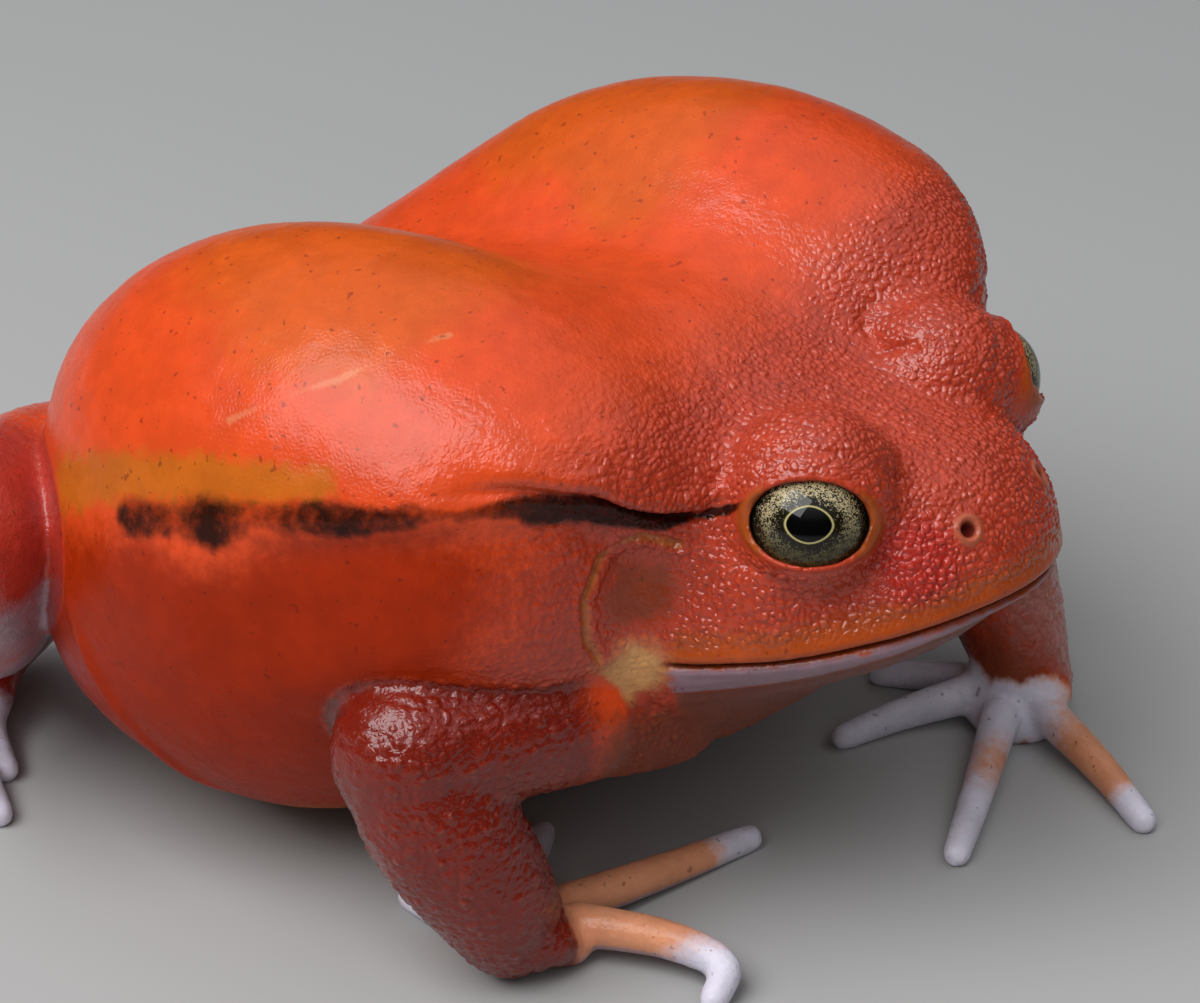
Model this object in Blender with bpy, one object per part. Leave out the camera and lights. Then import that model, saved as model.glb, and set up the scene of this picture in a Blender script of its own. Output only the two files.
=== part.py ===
"""Tomato frog, life size, sitting puffed up with its belly and four feet on the floor.

Metres, +Z up. The frog faces -Y, its left side is +X, and the floor is Z = 0.
Head and torso are one loft of rounded cross-sections, swollen where lungs, brows and
jaws push out. The limbs are tapering tubes joined to it. Thin cuts part the whole
into named pieces that meet face to face.
"""

import math

import bmesh
import bpy
import numpy as np
from mathutils import Matrix, Vector

MM = 0.001

# Driving dimensions, in millimetres
SNOUT_Y = -43.2
VENT_Y = 45.5
GAP = 0.3
MERGE = 0.02
CENTRE_SHIFT_Y = -3.3
ELBOW_REACH = 12.5
WRIST_REACH = 8.0
KNEE_REACH = 34.0
ANKLE_REACH = 8.0
EYE_RADIUS = 4.9
# How much longer the eyeball is along its line of sight than across it
EYE_STRETCH = 1.1
# Centres by side, the head being held a little tilted: -1 right, 1 left
EYE_CENTRES = {-1: (11.9, -29.8, 37.5), 1: (13.1, -29.5, 38.7)}
GAZE_TURN = 60.0
GAZE_RISE = 24.0
LID_THICKNESS = 0.8
LID_OPENING = (4.65, 3.2)
BROW_CENTRES = {-1: (10.0, -28.7, 38.4), 1: (10.2, -27.4, 39.5)}
BROW_RADII = (6.8, 6.9, 7.0)
MOUTH_CORNER_Y = -22.7
MOUTH_DEPTH = 1.3
MOUTH_WIDTH = 0.45
NOSTRIL = (5.5, -39.7, 36.9)
NOSTRIL_RADIUS = 1.45
NOSTRIL_HEIGHT = 0.75
NECK_Y = -17.5
NECK_TILT = 0.3

# Body stations: y, half width, top, side and bottom heights, upper and lower squareness
STATIONS = (
    (-43.2, 10.8, 39.7, 31.2, 28.2, 2.2, 2.0),
    (-37.0, 13.5, 40.7, 29.2, 24.8, 2.2, 2.0),
    (-29.0, 17.6, 42.0, 27.2, 20.0, 2.8, 2.0),
    (-22.0, 19.8, 44.0, 25.8, 13.6, 2.8, 2.0),
    (-13.0, 25.5, 48.0, 27.0, 7.6, 2.6, 1.9),
    (-3.0, 34.0, 51.0, 28.0, 4.0, 2.3, 2.1),
    (8.0, 38.0, 50.5, 28.0, 0.5, 2.2, 2.5),
    (20.0, 38.0, 47.0, 26.0, 0.0, 2.2, 2.5),
    (32.0, 36.8, 42.0, 22.0, 1.6, 2.1, 2.4),
    (45.5, 31.0, 34.0, 19.0, 6.0, 2.0, 2.0),
)
FRONT_CAP_START = -31.5
REAR_CAP_START = 14.0
HEAD_RINGS = 26
TORSO_RINGS = 22
SIDES = 48
# The swollen lung on each side: side, centre, radii
LUNGS = (
    (-1, (18.0, 5.5, 31.2), (20.6, 31.5, 21.8)),
    (1, (18.3, -2.9, 31.8), (20.8, 30.5, 23.6)),
)
# Where the swelling starts: back along the body, and up its side
LUNG_FROM_Y = (-23.0, -4.0)
LUNG_FROM_Z = (31.5, 42.0)
BACK_DIP_DEPTH = 4.5
BACK_DIP_WIDTH = 8.0
# Hollows on both sides, behind the arm and before the eye: centre, radii, depth
HOLLOWS = (
    ((30.0, -10.0, 20.0), (10.0, 8.5, 7.5), 5.5),
    ((14.5, -34.0, 35.5), (5.0, 3.0, 4.5), 2.4),
)
JAW_NARROWER = 0.045
JAW_SHORTER = 1.2
# The fold that runs back from the eye: y, height, depth of the hollow beneath it
FOLD = (
    (-29.0, 40.0, 0.0),
    (-25.0, 41.0, 0.8),
    (-20.0, 41.5, 1.4),
    (-14.0, 41.5, 1.8),
    (-8.0, 41.0, 1.8),
    (0.0, 39.0, 1.2),
    (9.0, 37.0, 0.0),
)

# Limbs, one row per station: centre x y z, then half width and half height
ARM_RIGHT = (
    (-13.0, -17.0, 18.0, 5.4, 5.4),
    (-23.5, -13.4, 20.2, 5.6, 5.6),
    (-33.4, -8.2, 20.6, 5.9, 5.9),
)
FOREARM_RIGHT = (
    (-33.8, -7.6, 20.4, 5.5, 5.6),
    (-32.6, -10.6, 14.0, 5.9, 5.9),
    (-30.4, -13.4, 7.6, 5.1, 5.0),
    (-28.6, -14.0, 4.4, 4.6, 3.8),
)
HAND_RIGHT = (-26.0, -14.6)
FINGERS_RIGHT = (
    ((-27.4, -11.0, 2.4), (-27.2, -6.4, 1.4), (-26.4, -2.2, 0.9)),
    ((-24.0, -11.4, 2.4), (-18.6, -8.0, 1.4), (-12.8, -5.4, 0.9)),
    ((-22.0, -14.6, 2.6), (-12.0, -17.4, 1.5), (-3.6, -19.8, 0.9)),
    ((-24.0, -17.0, 2.8), (-21.8, -24.0, 2.8), (-21.6, -29.0, 2.2), (-24.2, -29.9, 0.9)),
)
ARM_LEFT = (
    (13.0, -14.0, 18.0, 5.4, 5.4),
    (23.0, -16.0, 19.6, 5.6, 5.6),
    (32.4, -18.4, 18.6, 6.2, 6.2),
)
FOREARM_LEFT = (
    (33.2, -17.4, 19.4, 5.4, 5.6),
    (32.4, -20.6, 13.4, 5.9, 5.8),
    (30.2, -25.0, 7.6, 5.0, 4.8),
    (28.6, -27.4, 4.4, 4.5, 3.8),
)
HAND_LEFT = (26.0, -28.2)
FINGERS_LEFT = (
    ((27.4, -24.8, 2.4), (27.2, -19.8, 1.4), (25.4, -14.8, 0.9)),
    ((25.0, -24.4, 2.4), (20.2, -20.6, 1.4), (14.4, -17.8, 0.9)),
    ((22.6, -28.6, 2.6), (13.0, -32.0, 1.5), (4.2, -35.0, 0.9)),
    ((25.6, -31.4, 2.6), (21.8, -38.8, 1.5), (17.4, -45.2, 0.9)),
)
# Hind limbs of the left side, mirrored for the right
THIGH = (
    (10.0, 38.0, 18.0, 8.0, 9.0),
    (24.0, 37.5, 23.0, 8.0, 9.0),
    (38.0, 32.8, 27.6, 6.6, 7.2),
)
SHANK = (
    (39.0, 32.4, 26.4, 6.2, 6.4),
    (32.0, 38.5, 17.5, 6.6, 6.4),
    (22.5, 45.5, 9.5, 4.6, 4.4),
    (17.0, 49.0, 6.6, 3.9, 3.9),
)
TARSUS = (
    (16.4, 49.2, 5.6, 3.8, 3.9),
    (21.0, 48.6, 3.8, 3.4, 3.0),
    (26.0, 47.2, 2.6, 4.6, 2.3),
    (29.6, 45.4, 2.2, 4.6, 1.4),
)
TOES = (
    ((26.0, 45.0, 2.2), (28.6, 41.6, 1.4), (31.0, 37.8, 0.9)),
    ((28.6, 44.6, 2.2), (32.8, 39.0, 1.4), (36.4, 33.4, 0.9)),
    ((30.4, 44.4, 2.2), (37.6, 38.4, 1.5), (43.4, 31.8, 0.9)),
    ((31.6, 45.4, 2.2), (41.0, 40.6, 1.5), (49.4, 34.4, 0.9)),
    ((30.6, 46.8, 2.2), (39.0, 45.6, 1.4), (46.4, 42.8, 0.9)),
)
DIGIT_BASE_RADIUS = 1.75
DIGIT_TIP_RADIUS = 1.2

SKIN_COLOUR = (0.68, 0.10, 0.02)
ARM_COLOUR = (0.52, 0.08, 0.02)
HAND_COLOUR = (0.66, 0.30, 0.16)
EYE_COLOUR = (0.10, 0.07, 0.02)


def station_value(y, column):
    """A smooth curve through one column of the body stations, read at y."""
    ys = np.array([row[0] for row in STATIONS])
    values = np.array([row[column] for row in STATIONS])
    slopes = np.gradient(values, ys)
    i = np.clip(np.searchsorted(ys, y) - 1, 0, len(ys) - 2)
    span = ys[i + 1] - ys[i]
    t = np.clip((y - ys[i]) / span, 0.0, 1.0)
    from_start = (1 + 2 * t) * (1 - t) ** 2 * values[i] + t * (1 - t) ** 2 * span * slopes[i]
    from_end = t * t * (3 - 2 * t) * values[i + 1] + t * t * (t - 1) * span * slopes[i + 1]
    return from_start + from_end


def smooth_step(x, low, high):
    t = np.clip((x - low) / (high - low), 0.0, 1.0)
    return t * t * (3 - 2 * t)


def soft_max(a, b, blend):
    """The larger of a and b, rounded off where they are within blend of each other."""
    h = np.clip(0.5 + 0.5 * (a - b) / blend, 0.0, 1.0)
    return b + (a - b) * h + blend * h * (1 - h)


def bulge(points, side, centre, radii, blend):
    """Pushes the points of one side that lie inside an ellipsoid out to its surface."""
    middle = np.array((side * centre[0], centre[1], centre[2]))
    away = points - middle
    reach = np.maximum(np.linalg.norm(away / np.array(radii), axis=1), 1e-4)
    swollen = middle + away * (soft_max(reach, 1.0, blend) / reach)[:, None]
    return np.where((points[:, 0] * side > 0)[:, None], swollen, points)


def hollow(points, centre, radii, depth):
    """Draws the skin in towards the body's axis around a point, on both sides."""
    for side in (-1, 1):
        middle = np.array((side * centre[0], centre[1], centre[2]))
        near = np.exp(-np.sum(((points - middle) / np.array(radii)) ** 2, axis=1))
        points[:, 0] -= side * depth * near
    return points


def curve_value(rows, y, column):
    """Straight-line interpolation of one column of a table whose first column is y."""
    return np.interp(y, [row[0] for row in rows], [row[column] for row in rows])


def under_fold(points):
    """Draws the skin in beneath the fold that runs back from the eye."""
    x, y, z = points.T
    drop = curve_value(FOLD, y, 1) - z
    depth = curve_value(FOLD, y, 2)
    amount = depth * smooth_step(drop, 0.0, 3.2) * (1 - smooth_step(drop, 7.0, 16.0))
    points[:, 0] -= np.sign(x) * amount * smooth_step(np.abs(x), 8.0, 14.0)
    return points


def ring_stations():
    """Section positions from snout to vent, closest together at both ends."""
    u = np.arange(1, HEAD_RINGS + 1) / HEAD_RINGS
    head = SNOUT_Y + (NECK_Y - SNOUT_Y) * (1 - np.cos(0.5 * math.pi * u ** 1.15))
    w = np.arange(1, TORSO_RINGS) / TORSO_RINGS
    torso = NECK_Y + (VENT_Y - NECK_Y) * np.sin(0.5 * math.pi * w ** 1.15)
    return np.concatenate([head, torso])


def body_points():
    """Points of the skin of head and torso, ring by ring, with the two end points last."""
    y = ring_stations()
    v = 2 * math.pi * np.arange(SIDES) / SIDES
    y, v = (grid.ravel() for grid in np.meshgrid(y, v, indexing="ij"))
    half, top, side, low, n_top, n_low = (station_value(y, c) for c in range(1, 7))
    front = np.clip((FRONT_CAP_START - y) / (FRONT_CAP_START - SNOUT_Y), 0, 1)
    rear = np.clip((y - REAR_CAP_START) / (VENT_Y - REAR_CAP_START), 0, 1)
    cap_width = np.sqrt((1 - front ** 2.1) * (1 - rear ** 2.2))
    cap_height = np.sqrt((1 - front ** 3.2) * (1 - rear ** 2.2))
    upper = np.cos(v) > 0
    n = np.where(upper, n_top, n_low)
    r = (np.abs(np.sin(v)) ** n + np.abs(np.cos(v)) ** n) ** (-1 / n)
    x = half * cap_width * r * np.sin(v)
    z = side + np.where(upper, top - side, side - low) * cap_height * r * np.cos(v)
    ends = np.array([(0, end, station_value(np.array([end]), 3)[0]) for end in (SNOUT_Y, VENT_Y)])
    points = np.concatenate([np.stack([x, y, z], axis=1), ends])
    return shape_features(points)


def shape_features(points):
    """Swells lungs and brows, sinks the mid-back, and insets the lower jaw."""
    share = np.maximum(smooth_step(points[:, 1], *LUNG_FROM_Y), smooth_step(points[:, 2], *LUNG_FROM_Z))
    swollen = points
    for side, centre, radii in LUNGS:
        swollen = bulge(swollen, side, centre, radii, 0.15)
    points = points + share[:, None] * (swollen - points)
    x, y, z = points.T
    along = smooth_step(y, -16, 4) * (1 - smooth_step(y, 28, 42))
    dip = np.exp(-(x / BACK_DIP_WIDTH) ** 2) * along * smooth_step(z, 30, 40)
    points[:, 2] -= BACK_DIP_DEPTH * dip
    points = under_fold(points)
    for centre, radii, depth in HOLLOWS:
        points = hollow(points, centre, radii, depth)
    for side in (-1, 1):
        points = bulge(points, side, BROW_CENTRES[side], BROW_RADII, 0.3)
    x, y, z = points.T
    mouth = station_value(y, 3)
    in_head = 1 - smooth_step(y, MOUTH_CORNER_Y - 3, MOUTH_CORNER_Y + 3)
    lower = smooth_step(mouth - z, 0.2, 1.2) * in_head
    points[:, 0] *= 1 - JAW_NARROWER * lower
    points[:, 1] += JAW_SHORTER * lower * smooth_step(-y, 36, 44)
    points[:, 2] = np.maximum(points[:, 2], 0.0)
    return points


def link(name, mesh):
    made = bpy.data.objects.new(name, mesh)
    bpy.context.scene.collection.objects.link(made)
    return made


def mesh_object(name, points, faces):
    """A closed mesh from points in millimetres, with its faces turned outward."""
    work = bmesh.new()
    verts = [work.verts.new(Vector(p) * MM) for p in points]
    for face in faces:
        work.faces.new([verts[i] for i in face])
    bmesh.ops.recalc_face_normals(work, faces=work.faces)
    mesh = bpy.data.meshes.new(name)
    work.to_mesh(mesh)
    work.free()
    return link(name, mesh)


def lofted(name, points, sides):
    """Skins rings of `sides` points, closed at each end by one of the last two points."""
    count = (len(points) - 2) // sides
    first, last = count * sides, count * sides + 1
    faces = []
    for k in range(sides):
        n = (k + 1) % sides
        faces.append((first, n, k))
        faces.append((last, (count - 1) * sides + k, (count - 1) * sides + n))
        for i in range(count - 1):
            a, b = i * sides, (i + 1) * sides
            faces.append((a + k, a + n, b + n, b + k))
    return mesh_object(name, points, faces)


def grown(item, distance):
    """A copy of an object with its skin moved out along its normals."""
    mesh = item.data.copy()
    normals = [v.normal.copy() for v in mesh.vertices]
    for vertex, normal in zip(mesh.vertices, normals):
        vertex.co += normal * distance * MM
    return link(item.name + "_grown", mesh)


def path_points(rows, count):
    """A smooth path through the rows, sampled at `count` even steps of row number."""
    rows = np.array(rows, float)
    t = np.linspace(0, len(rows) - 1, count)
    slopes = np.gradient(rows, axis=0)
    i = np.clip(t.astype(int), 0, len(rows) - 2)
    s = (t - i)[:, None]
    a, b = rows[i], rows[i + 1]
    return ((1 + 2 * s) * (1 - s) ** 2 * a + s * (1 - s) ** 2 * slopes[i]
            + s * s * (3 - 2 * s) * b + s * s * (s - 1) * slopes[i + 1])


def tube(name, rows, sides=14, steps=7, side_axis=None, caps=(70, 40, 15)):
    """A tapering tube along rows of centre and half sizes, with rounded ends."""
    body = path_points(rows, steps)
    tangents = np.gradient(body[:, :3], axis=0)
    tangents /= np.linalg.norm(tangents, axis=1)[:, None]
    centres, sizes, along = [], [], []
    for angle in caps:
        rise, shrink = math.sin(math.radians(angle)), math.cos(math.radians(angle))
        centres.append(body[0, :3] - tangents[0] * rise * body[0, 3:].mean())
        sizes.append(body[0, 3:] * shrink)
        along.append(tangents[0])
    centres += list(body[:, :3])
    sizes += list(body[:, 3:])
    along += list(tangents)
    for angle in reversed(caps):
        rise, shrink = math.sin(math.radians(angle)), math.cos(math.radians(angle))
        centres.append(body[-1, :3] + tangents[-1] * rise * body[-1, 3:].mean())
        sizes.append(body[-1, 3:] * shrink)
        along.append(tangents[-1])
    points = []
    angles = 2 * math.pi * np.arange(sides) / sides
    for centre, size, tangent in zip(centres, sizes, along):
        if side_axis is None:
            across = np.cross(tangent, (0, 0, 1))
        else:
            across = np.array(side_axis, float) - np.dot(side_axis, tangent) * tangent
        across /= np.linalg.norm(across)
        other = np.cross(across, tangent)
        for a in angles:
            points.append(centre + across * size[0] * math.cos(a) + other * size[1] * math.sin(a))
    points.append(body[0, :3] - tangents[0] * body[0, 3:].mean())
    points.append(body[-1, :3] + tangents[-1] * body[-1, 3:].mean())
    return lofted(name, points, sides)


def boolean(item, other, operation, solver="EXACT"):
    """Applies one Boolean and removes the other object."""
    modifier = item.modifiers.new("cut", "BOOLEAN")
    modifier.operation = operation
    modifier.object = other
    modifier.solver = solver
    apply(item)
    bpy.data.objects.remove(other)
    return item


def apply(item):
    evaluated = item.evaluated_get(bpy.context.evaluated_depsgraph_get())
    mesh = bpy.data.meshes.new_from_object(evaluated)
    item.modifiers.clear()
    item.data = mesh


def copy_of(item):
    return link(item.name + "_copy", item.data.copy())


def block(name, low, high):
    x0, y0, z0 = low
    x1, y1, z1 = high
    corners = [(x0, y0, z0), (x1, y0, z0), (x1, y1, z0), (x0, y1, z0)]
    corners += [(x0, y0, z1), (x1, y0, z1), (x1, y1, z1), (x0, y1, z1)]
    faces = [(0, 3, 2, 1), (4, 5, 6, 7), (0, 1, 5, 4), (1, 2, 6, 5), (2, 3, 7, 6), (3, 0, 4, 7)]
    return mesh_object(name, corners, faces)


def slab(name, point, normal, reach):
    """A thin square plate, as thick as the gap between two pieces."""
    plate = block(name, (-reach, -reach, -0.5 * GAP), (reach, reach, 0.5 * GAP))
    turn = Vector(normal).to_track_quat("Z", "Y").to_matrix().to_4x4()
    plate.data.transform(Matrix.Translation(Vector(point) * MM) @ turn)
    return plate


def shells(mesh):
    """Vertex index sets of the closed surfaces of a mesh, largest first."""
    neighbours = [[] for _ in mesh.vertices]
    for edge in mesh.edges:
        a, b = edge.vertices
        neighbours[a].append(b)
        neighbours[b].append(a)
    left = set(range(len(mesh.vertices)))
    found = []
    while left:
        stack = [left.pop()]
        group = set(stack)
        while stack:
            for other in neighbours[stack.pop()]:
                if other in left:
                    left.discard(other)
                    group.add(other)
                    stack.append(other)
        found.append(group)
    return sorted(found, key=len, reverse=True)


def keep_only(item, group):
    work = bmesh.new()
    work.from_mesh(item.data)
    work.verts.ensure_lookup_table()
    extra = [v for v in work.verts if v.index not in group]
    bmesh.ops.delete(work, geom=extra, context="VERTS")
    work.to_mesh(item.data)
    work.free()


def keep_largest(item):
    keep_only(item, shells(item.data)[0])


def merge_close(item):
    """Makes one corner of those that a cut has left almost in one place."""
    work = bmesh.new()
    work.from_mesh(item.data)
    bmesh.ops.remove_doubles(work, verts=work.verts, dist=MERGE * MM)
    bmesh.ops.dissolve_degenerate(work, edges=work.edges, dist=0.05 * MERGE * MM)
    work.to_mesh(item.data)
    work.free()


def part_at(item, names, point, normal, reach):
    """Parts an object in two with a thin plate; the first name is on the plate's back."""
    boolean(item, slab("plate", point, normal, reach), "DIFFERENCE")
    groups = shells(item.data)[:2]
    way = Vector(normal).normalized()
    middle = Vector(point) * MM

    def height(group):
        near = [v.co - middle for v in item.data.vertices if v.index in group]
        near = sorted(near, key=lambda offset: offset.length)[:12]
        return sum(offset.dot(way) for offset in near)

    groups.sort(key=height)
    second = copy_of(item)
    for piece, name, group in ((item, names[0], groups[0]), (second, names[1], groups[1])):
        keep_only(piece, group)
        piece.name = name
        piece.data.name = name
    return item, second


def bend_normal(before, middle, after):
    """Normal of the plane that halves the bend between two limb segments."""
    first = (middle - before) / np.linalg.norm(middle - before)
    second = (after - middle) / np.linalg.norm(after - middle)
    return first + second


def mirrored_rows(rows, side):
    return tuple((side * row[0],) + tuple(row[1:]) for row in rows)


def digit(name, centres):
    """A finger or toe: a thin tube that ends in a slightly swollen tip."""
    last = len(centres) - 1
    rows = []
    for i, (x, y, z) in enumerate(centres):
        radius = DIGIT_BASE_RADIUS + (DIGIT_TIP_RADIUS - DIGIT_BASE_RADIUS) * i / last
        rows.append((x, y, z, radius, radius))
    return tube(name, rows, sides=8, steps=2 * last + 1, caps=(50, 20))


def joined(name, pieces):
    """One solid from overlapping tubes."""
    whole = pieces[0]
    for piece in pieces[1:]:
        boolean(whole, piece, "UNION")
    whole.name = name
    keep_largest(whole)
    return whole


def floor_cutter():
    return block("below_floor", (-80, -80, -20), (80, 80, 0))


def arm(side_name, upper, fore, palm, fingers, skin):
    """Upper arm, forearm and hand of one side, trimmed to the body's skin."""
    px, py = palm
    wrist = np.array(fore[-1][:3])
    pieces = [tube("upper", upper), tube("fore", fore, side_axis=(1, 0, 0))]
    toward = np.array((px, py, 2.4)) - wrist
    hand_rows = (
        tuple(wrist + (0, 0, -0.6)) + (4.4, 3.4),
        tuple(wrist + 0.6 * toward) + (4.8, 2.9),
        tuple(wrist + 1.3 * toward) + (4.2, 2.2),
    )
    pieces.append(tube("palm", hand_rows, steps=5))
    pieces += [digit("digit", f) for f in fingers]
    whole = joined("arm", pieces)
    boolean(whole, floor_cutter(), "DIFFERENCE")
    boolean(whole, copy_of(skin), "DIFFERENCE")
    keep_largest(whole)
    shoulder, elbow, below = (np.array(row[:3]) for row in (upper[0], upper[-1], fore[1]))
    normal = bend_normal(shoulder, elbow, below)
    near, rest = part_at(whole, (side_name + "_upper_arm", "rest"), elbow, normal, ELBOW_REACH)
    over = np.array(fore[-2][:3])
    names = (side_name + "_forearm", side_name + "_hand")
    normal = bend_normal(over, wrist, wrist - (0, 0, 1))
    return (near,) + part_at(rest, names, 0.5 * (wrist + over), normal, WRIST_REACH)


def leg(side_name, side, skin):
    """Thigh, shank and foot of one side, trimmed to the body's skin."""
    thigh, shank, tarsus = (mirrored_rows(rows, side) for rows in (THIGH, SHANK, TARSUS))
    pieces = [tube("thigh", thigh), tube("shank", shank, side_axis=(0, 0, 1)), tube("tarsus", tarsus)]
    pieces += [digit("digit", mirrored_rows(toe, side)) for toe in TOES]
    whole = joined("leg", pieces)
    boolean(whole, floor_cutter(), "DIFFERENCE")
    boolean(whole, copy_of(skin), "DIFFERENCE")
    keep_largest(whole)
    hip, knee, below = (np.array(row[:3]) for row in (thigh[0], thigh[-1], shank[1]))
    names = (side_name + "_thigh", "rest")
    near, rest = part_at(whole, names, knee, bend_normal(hip, knee, below), KNEE_REACH)
    above, ankle, toe = (np.array(row[:3]) for row in (shank[-2], shank[-1], tarsus[1]))
    names = (side_name + "_shank", side_name + "_foot")
    return (near,) + part_at(rest, names, ankle, bend_normal(above, ankle, toe), ANKLE_REACH)


def eye_frame(side):
    """Turns +Z to the eye's line of sight, with the local Y axis close to upright."""
    turn, rise = math.radians(GAZE_TURN), math.radians(GAZE_RISE)
    ahead = Vector((side * math.sin(turn) * math.cos(rise), -math.cos(turn) * math.cos(rise), math.sin(rise)))
    across = Vector((0, 0, 1)).cross(ahead).normalized()
    up = ahead.cross(across)
    x, y, z = EYE_CENTRES[side]
    place = Matrix((across, up, ahead)).transposed().to_4x4()
    return Matrix.Translation(Vector((side * x, y, z)) * MM) @ place


def ball(name, radius, frame, segments=24, rings=14):
    bpy.ops.mesh.primitive_uv_sphere_add(segments=segments, ring_count=rings, radius=radius * MM)
    made = bpy.context.object
    made.data.transform(frame)
    made.name = name
    made.data.name = name
    return made


def cut_eye(head, side):
    """Opens the socket and the slit between the lids."""
    frame = eye_frame(side)
    stretch = Matrix.Diagonal((1.0, 1.0, EYE_STRETCH, 1.0))
    boolean(head, ball("lids", EYE_RADIUS + LID_THICKNESS, frame), "UNION")
    boolean(head, ball("socket", EYE_RADIUS + GAP, frame @ stretch), "DIFFERENCE")
    bpy.ops.mesh.primitive_cone_add(vertices=28, radius1=0.86 * MM * LID_OPENING[0],
                                    radius2=1.5 * MM * LID_OPENING[0], depth=9 * MM)
    opening = bpy.context.object
    squash = Matrix.Diagonal((1.0, LID_OPENING[1] / LID_OPENING[0], 1.0, 1.0))
    opening.data.transform(frame @ Matrix.Translation((0, 0, 6.4 * MM)) @ squash)
    boolean(head, opening, "DIFFERENCE")
    merge_close(head)


def mouth_cutter(points):
    """A thin bent plate that follows the mouth line from corner to corner."""
    count = HEAD_RINGS
    left = [points[i * SIDES + SIDES // 4] for i in range(count)]
    right = [points[i * SIDES + 3 * SIDES // 4] for i in range(count)]
    line = [p for p in reversed(right) if p[1] < MOUTH_CORNER_Y]
    line += [points[-2]]
    line += [p for p in left if p[1] < MOUTH_CORNER_Y]
    line = np.array(line)
    along = np.gradient(line, axis=0)
    outward = np.stack([-along[:, 1], along[:, 0], np.zeros(len(line))], axis=1)
    outward /= -np.linalg.norm(outward, axis=1)[:, None]
    fade = np.sin(np.linspace(0.12, math.pi - 0.12, len(line))) ** 0.35
    depth = (MOUTH_DEPTH * fade)[:, None]
    rise = np.array((0, 0, 0.5 * MOUTH_WIDTH))
    rings = (line - outward * depth - 0.4 * rise, line + outward * 1.5 - 1.3 * rise,
             line + outward * 1.5 + 1.3 * rise, line - outward * depth + 0.4 * rise)
    corners = np.stack(rings, axis=1).reshape(-1, 3)
    faces = [(0, 1, 2, 3)]
    for i in range(len(line) - 1):
        for k in range(4):
            n = (k + 1) % 4
            faces.append((4 * i + k, 4 * i + n, 4 * i + 4 + n, 4 * i + 4 + k))
    last = 4 * (len(line) - 1)
    faces.append((last + 3, last + 2, last + 1, last))
    return mesh_object("mouth", corners, faces)


def nostril(head, side):
    """A low round mound with a small pit that opens outward and forward."""
    way = Vector((side * 0.55, -0.78, 0.3)).normalized()
    turn = way.to_track_quat("Z", "Y").to_matrix().to_4x4()
    x, y, z = NOSTRIL
    frame = Matrix.Translation(Vector((side * x, y, z)) * MM) @ turn
    low = Matrix.Diagonal((1.0, 1.0, NOSTRIL_HEIGHT / NOSTRIL_RADIUS, 1.0))
    boolean(head, ball("mound", NOSTRIL_RADIUS, frame @ low, 14, 8), "UNION")
    bpy.ops.mesh.primitive_cone_add(vertices=12, radius1=0.25 * MM, radius2=0.6 * MM, depth=2.4 * MM)
    pit = bpy.context.object
    pit.data.transform(frame)
    boolean(head, pit, "DIFFERENCE")


def coloured(item, name, colour, roughness):
    material = bpy.data.materials.new(name)
    material.use_nodes = True
    shader = material.node_tree.nodes["Principled BSDF"]
    shader.inputs["Base Color"].default_value = (*colour, 1.0)
    shader.inputs["Roughness"].default_value = roughness
    item.data.materials.clear()
    item.data.materials.append(material)


def main():
    for item in list(bpy.data.objects):
        bpy.data.objects.remove(item)
    points = body_points()
    body = lofted("body", points, SIDES)
    skin = grown(body, GAP)
    pieces = []
    pieces += arm("right", ARM_RIGHT, FOREARM_RIGHT, HAND_RIGHT, FINGERS_RIGHT, skin)
    pieces += arm("left", ARM_LEFT, FOREARM_LEFT, HAND_LEFT, FINGERS_LEFT, skin)
    for side, name in ((-1, "right"), (1, "left")):
        pieces += leg(name, side, skin)
    bpy.data.objects.remove(skin)
    head, torso = part_at(body, ("head", "torso"), (0, NECK_Y, 30), (0, 1, NECK_TILT), 60)
    boolean(head, mouth_cutter(points), "DIFFERENCE")
    for side in (-1, 1):
        cut_eye(head, side)
        nostril(head, side)
    keep_largest(head)
    pieces += [head, torso]
    for item in pieces:
        if item.name.endswith("hand") or item.name.endswith("foot"):
            colour = HAND_COLOUR
        elif item in (head, torso):
            colour = SKIN_COLOUR
        else:
            colour = ARM_COLOUR
        coloured(item, item.name + "_skin", colour, 0.35)
    for side, name in ((-1, "right"), (1, "left")):
        stretch = Matrix.Diagonal((1.0, 1.0, EYE_STRETCH, 1.0))
        eye = ball(name + "_eye", EYE_RADIUS, eye_frame(side) @ stretch)
        coloured(eye, name + "_eye_surface", EYE_COLOUR, 0.05)
        pieces.append(eye)
    for item in pieces:
        item.data.transform(Matrix.Translation(Vector((0.0, CENTRE_SHIFT_Y * MM, 0.0))))
    home = bpy.data.collections.new("tomato_frog")
    bpy.context.scene.collection.children.link(home)
    for item in pieces:
        for owner in list(item.users_collection):
            owner.objects.unlink(item)
        home.objects.link(item)
        item.data.shade_smooth()


main()
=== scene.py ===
"""Looks of the tomato frog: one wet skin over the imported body, two eyes, floor, light, camera.

Shapes are worked out in millimetres in the frog's own frame: it faces -Y, its left is +X
and the floor is Z = 0. The skin is rebuilt finely from the body's own stations and limb
rows, given its folds, lids, lips and granules, and marked by zones that a material reads.
"""

import itertools
import math

import bmesh
import bpy
import numpy as np
from mathutils import Matrix, Vector


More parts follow.
